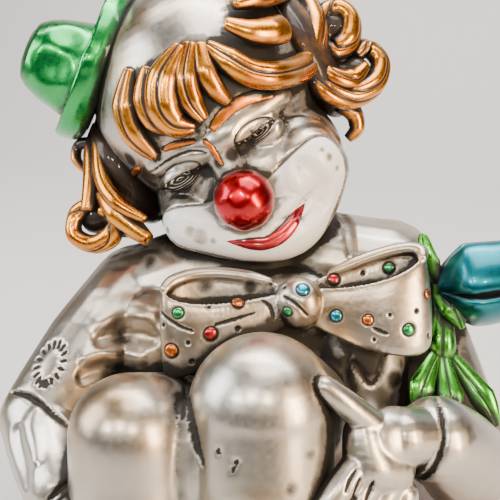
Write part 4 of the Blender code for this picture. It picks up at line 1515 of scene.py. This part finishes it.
@dataclass
class Flower:
    """A large bud in the crook of the left arm, with sepals and hanging leaves."""

    base: Place = (80, 31, 122)
    tip: Place = (128, 40, 130)
    petals: tuple = ((45, 13.0, 12.0), (140, 13.5, 14.0), (-90, 12.5, 14.0), (92, 10.5, 10.0),
                     (0, 10.0, 10.0), (200, 10.0, 10.0))
    leaves: tuple = (((78, 3, 86), (78, 0, 74)), ((90, 5, 82), (96, 0, 66)),
                     ((103, 12, 80), (110, 10, 68)))

    def build(self) -> list[bpy.types.Object]:
        """Sweep the petals round the bud, then the stem, sepals and leaves."""
        base, tip = grid(*self.base), grid(*self.tip)
        axis = tip - base
        turn = frame_along(axis)
        petals = Bundle()
        middle = base.lerp(tip, 0.5)
        petals.lay(Lock(ribs=1, flat=1.0, segments=32, steps=8),
                   [base, *(base.lerp(tip, share) for share in (0.3, 0.7, 0.92))],
                   [5, 12, 12, 5], lambda place: turn.col[0])
        for degrees, reach, half in self.petals:
            angle = math.radians(degrees)
            out = turn @ Vector((math.cos(angle), math.sin(angle), 0)) * GRID
            petals.lay(
                Lock(ribs=1, flat=0.36, segments=40, steps=10),
                [base + axis * 0.02 + out * 4, base + axis * 0.28 + out * reach,
                 base + axis * 0.62 + out * reach, base + axis * 0.97 + out * (reach + 1.5)],
                [5, half, half * 0.95, 2.0], lambda place: place - middle - axis * (
                    (place - middle).dot(axis) / axis.length_squared))
        flower = petals.close("flower")
        Finish.FLOWER.dress(flower)
        greens = Bundle()
        knot = grid(84, 20, 99)
        stem = Lock(ribs=2, rib_depth=0.15, flat=0.9, segments=24, steps=6)
        blade = Lock(ribs=2, rib_depth=0.28, flat=0.42, segments=40, steps=8)
        greens.lay(stem, [base + axis * 0.08, grid(83, 28, 112), knot, grid(84, 22, 84)],
                   [7, 4.5, 6.5, 6], lambda place: Vector((0.2, -1, 0)))
        for start, places, radii, facing in (
                (base, ((75, 30, 133), (72, 34, 145)), (4, 6, 1.5), (-0.3, -1, 0.2)),
                (base, ((88, 22, 116), (92, 24, 106)), (4, 6, 1.5), (0.2, -1, 0.1)),
                *((knot, places, (1.8, 5.8, 1.6), (0.25, -1, 0.25)) for places in self.leaves)):
            greens.lay(blade, [start, *grids(*places)], radii,
                       lambda place, facing=facing: Vector(facing))
        leaves = greens.close("leaves")
        Finish.LEAF.dress(leaves)
        return [flower, leaves]


class Plinth:
    """The dark polished board, which keeps the solid's own shape."""

    @staticmethod
    def dress() -> None:
        """Give the plinth stained wood grain."""
        material = bpy.data.materials.new("stained_wood")
        material.use_nodes = True
        build = Wiring(material.node_tree)
        shader = material.node_tree.nodes["Principled BSDF"]
        coords = build.node("ShaderNodeTexCoord").outputs["Object"]
        stretch = build.node("ShaderNodeMapping")
        stretch.inputs["Scale"].default_value = (1.0, 0.12, 1.0)
        build.plug(stretch.inputs["Vector"], coords)
        grain = build.noise(stretch.outputs["Vector"], 220.0, 6.0, 0.65)
        broad = build.noise(stretch.outputs["Vector"], 40.0, 3.0, 0.5)
        share = build.ramp(build.math("MULTIPLY", grain, build.math("ADD", broad, 0.5)),
                           0.35, 0.75)
        build.plug(shader.inputs["Base Color"],
                   build.mix(share, WOOD_DARK, WOOD_LIGHT))
        build.plug(shader.inputs["Roughness"],
                   build.math("ADD", 0.22, build.math("MULTIPLY", grain, 0.2)))
        shader.inputs["Coat Weight"].default_value = 0.4
        shader.inputs["Coat Roughness"].default_value = 0.12
        bump = build.node("ShaderNodeBump")
        bump.inputs["Strength"].default_value = 0.08
        bump.inputs["Distance"].default_value = 0.0005
        build.plug(bump.inputs["Height"], grain)
        build.plug(shader.inputs["Normal"], bump.outputs["Normal"])
        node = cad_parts["plinth"]
        for slot in node.material_slots:
            slot.material = material


def main() -> None:
    """Build every piece in order, mark the hollows' patina and painted shade, and hand the pieces to
    the frame.
    """
    logging.basicConfig(level=logging.INFO, format="%(message)s")
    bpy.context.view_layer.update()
    Studio().build()
    pieces: list[bpy.types.Object] = []
    for part in (Coat(), Hands(), Shoes(), Head(), Hat(), Hair(), Bow(), Flower()):
        made = part.build()
        pieces += made if isinstance(made, list) else [made]
        LOG.info("%s: %d pieces so far", type(part).__name__, len(pieces))
    Hollows().mark(pieces, pieces)
    for piece in pieces:
        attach(piece, "root")
        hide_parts("clown")
    Plinth.dress()
    triangles = {piece.name: sum(len(face.vertices) - 2 for face in piece.data.polygons)
                 for piece in pieces}
    LOG.info("triangles: %s, in all %d", triangles, sum(triangles.values()))


if __name__ == "__main__":
    main()
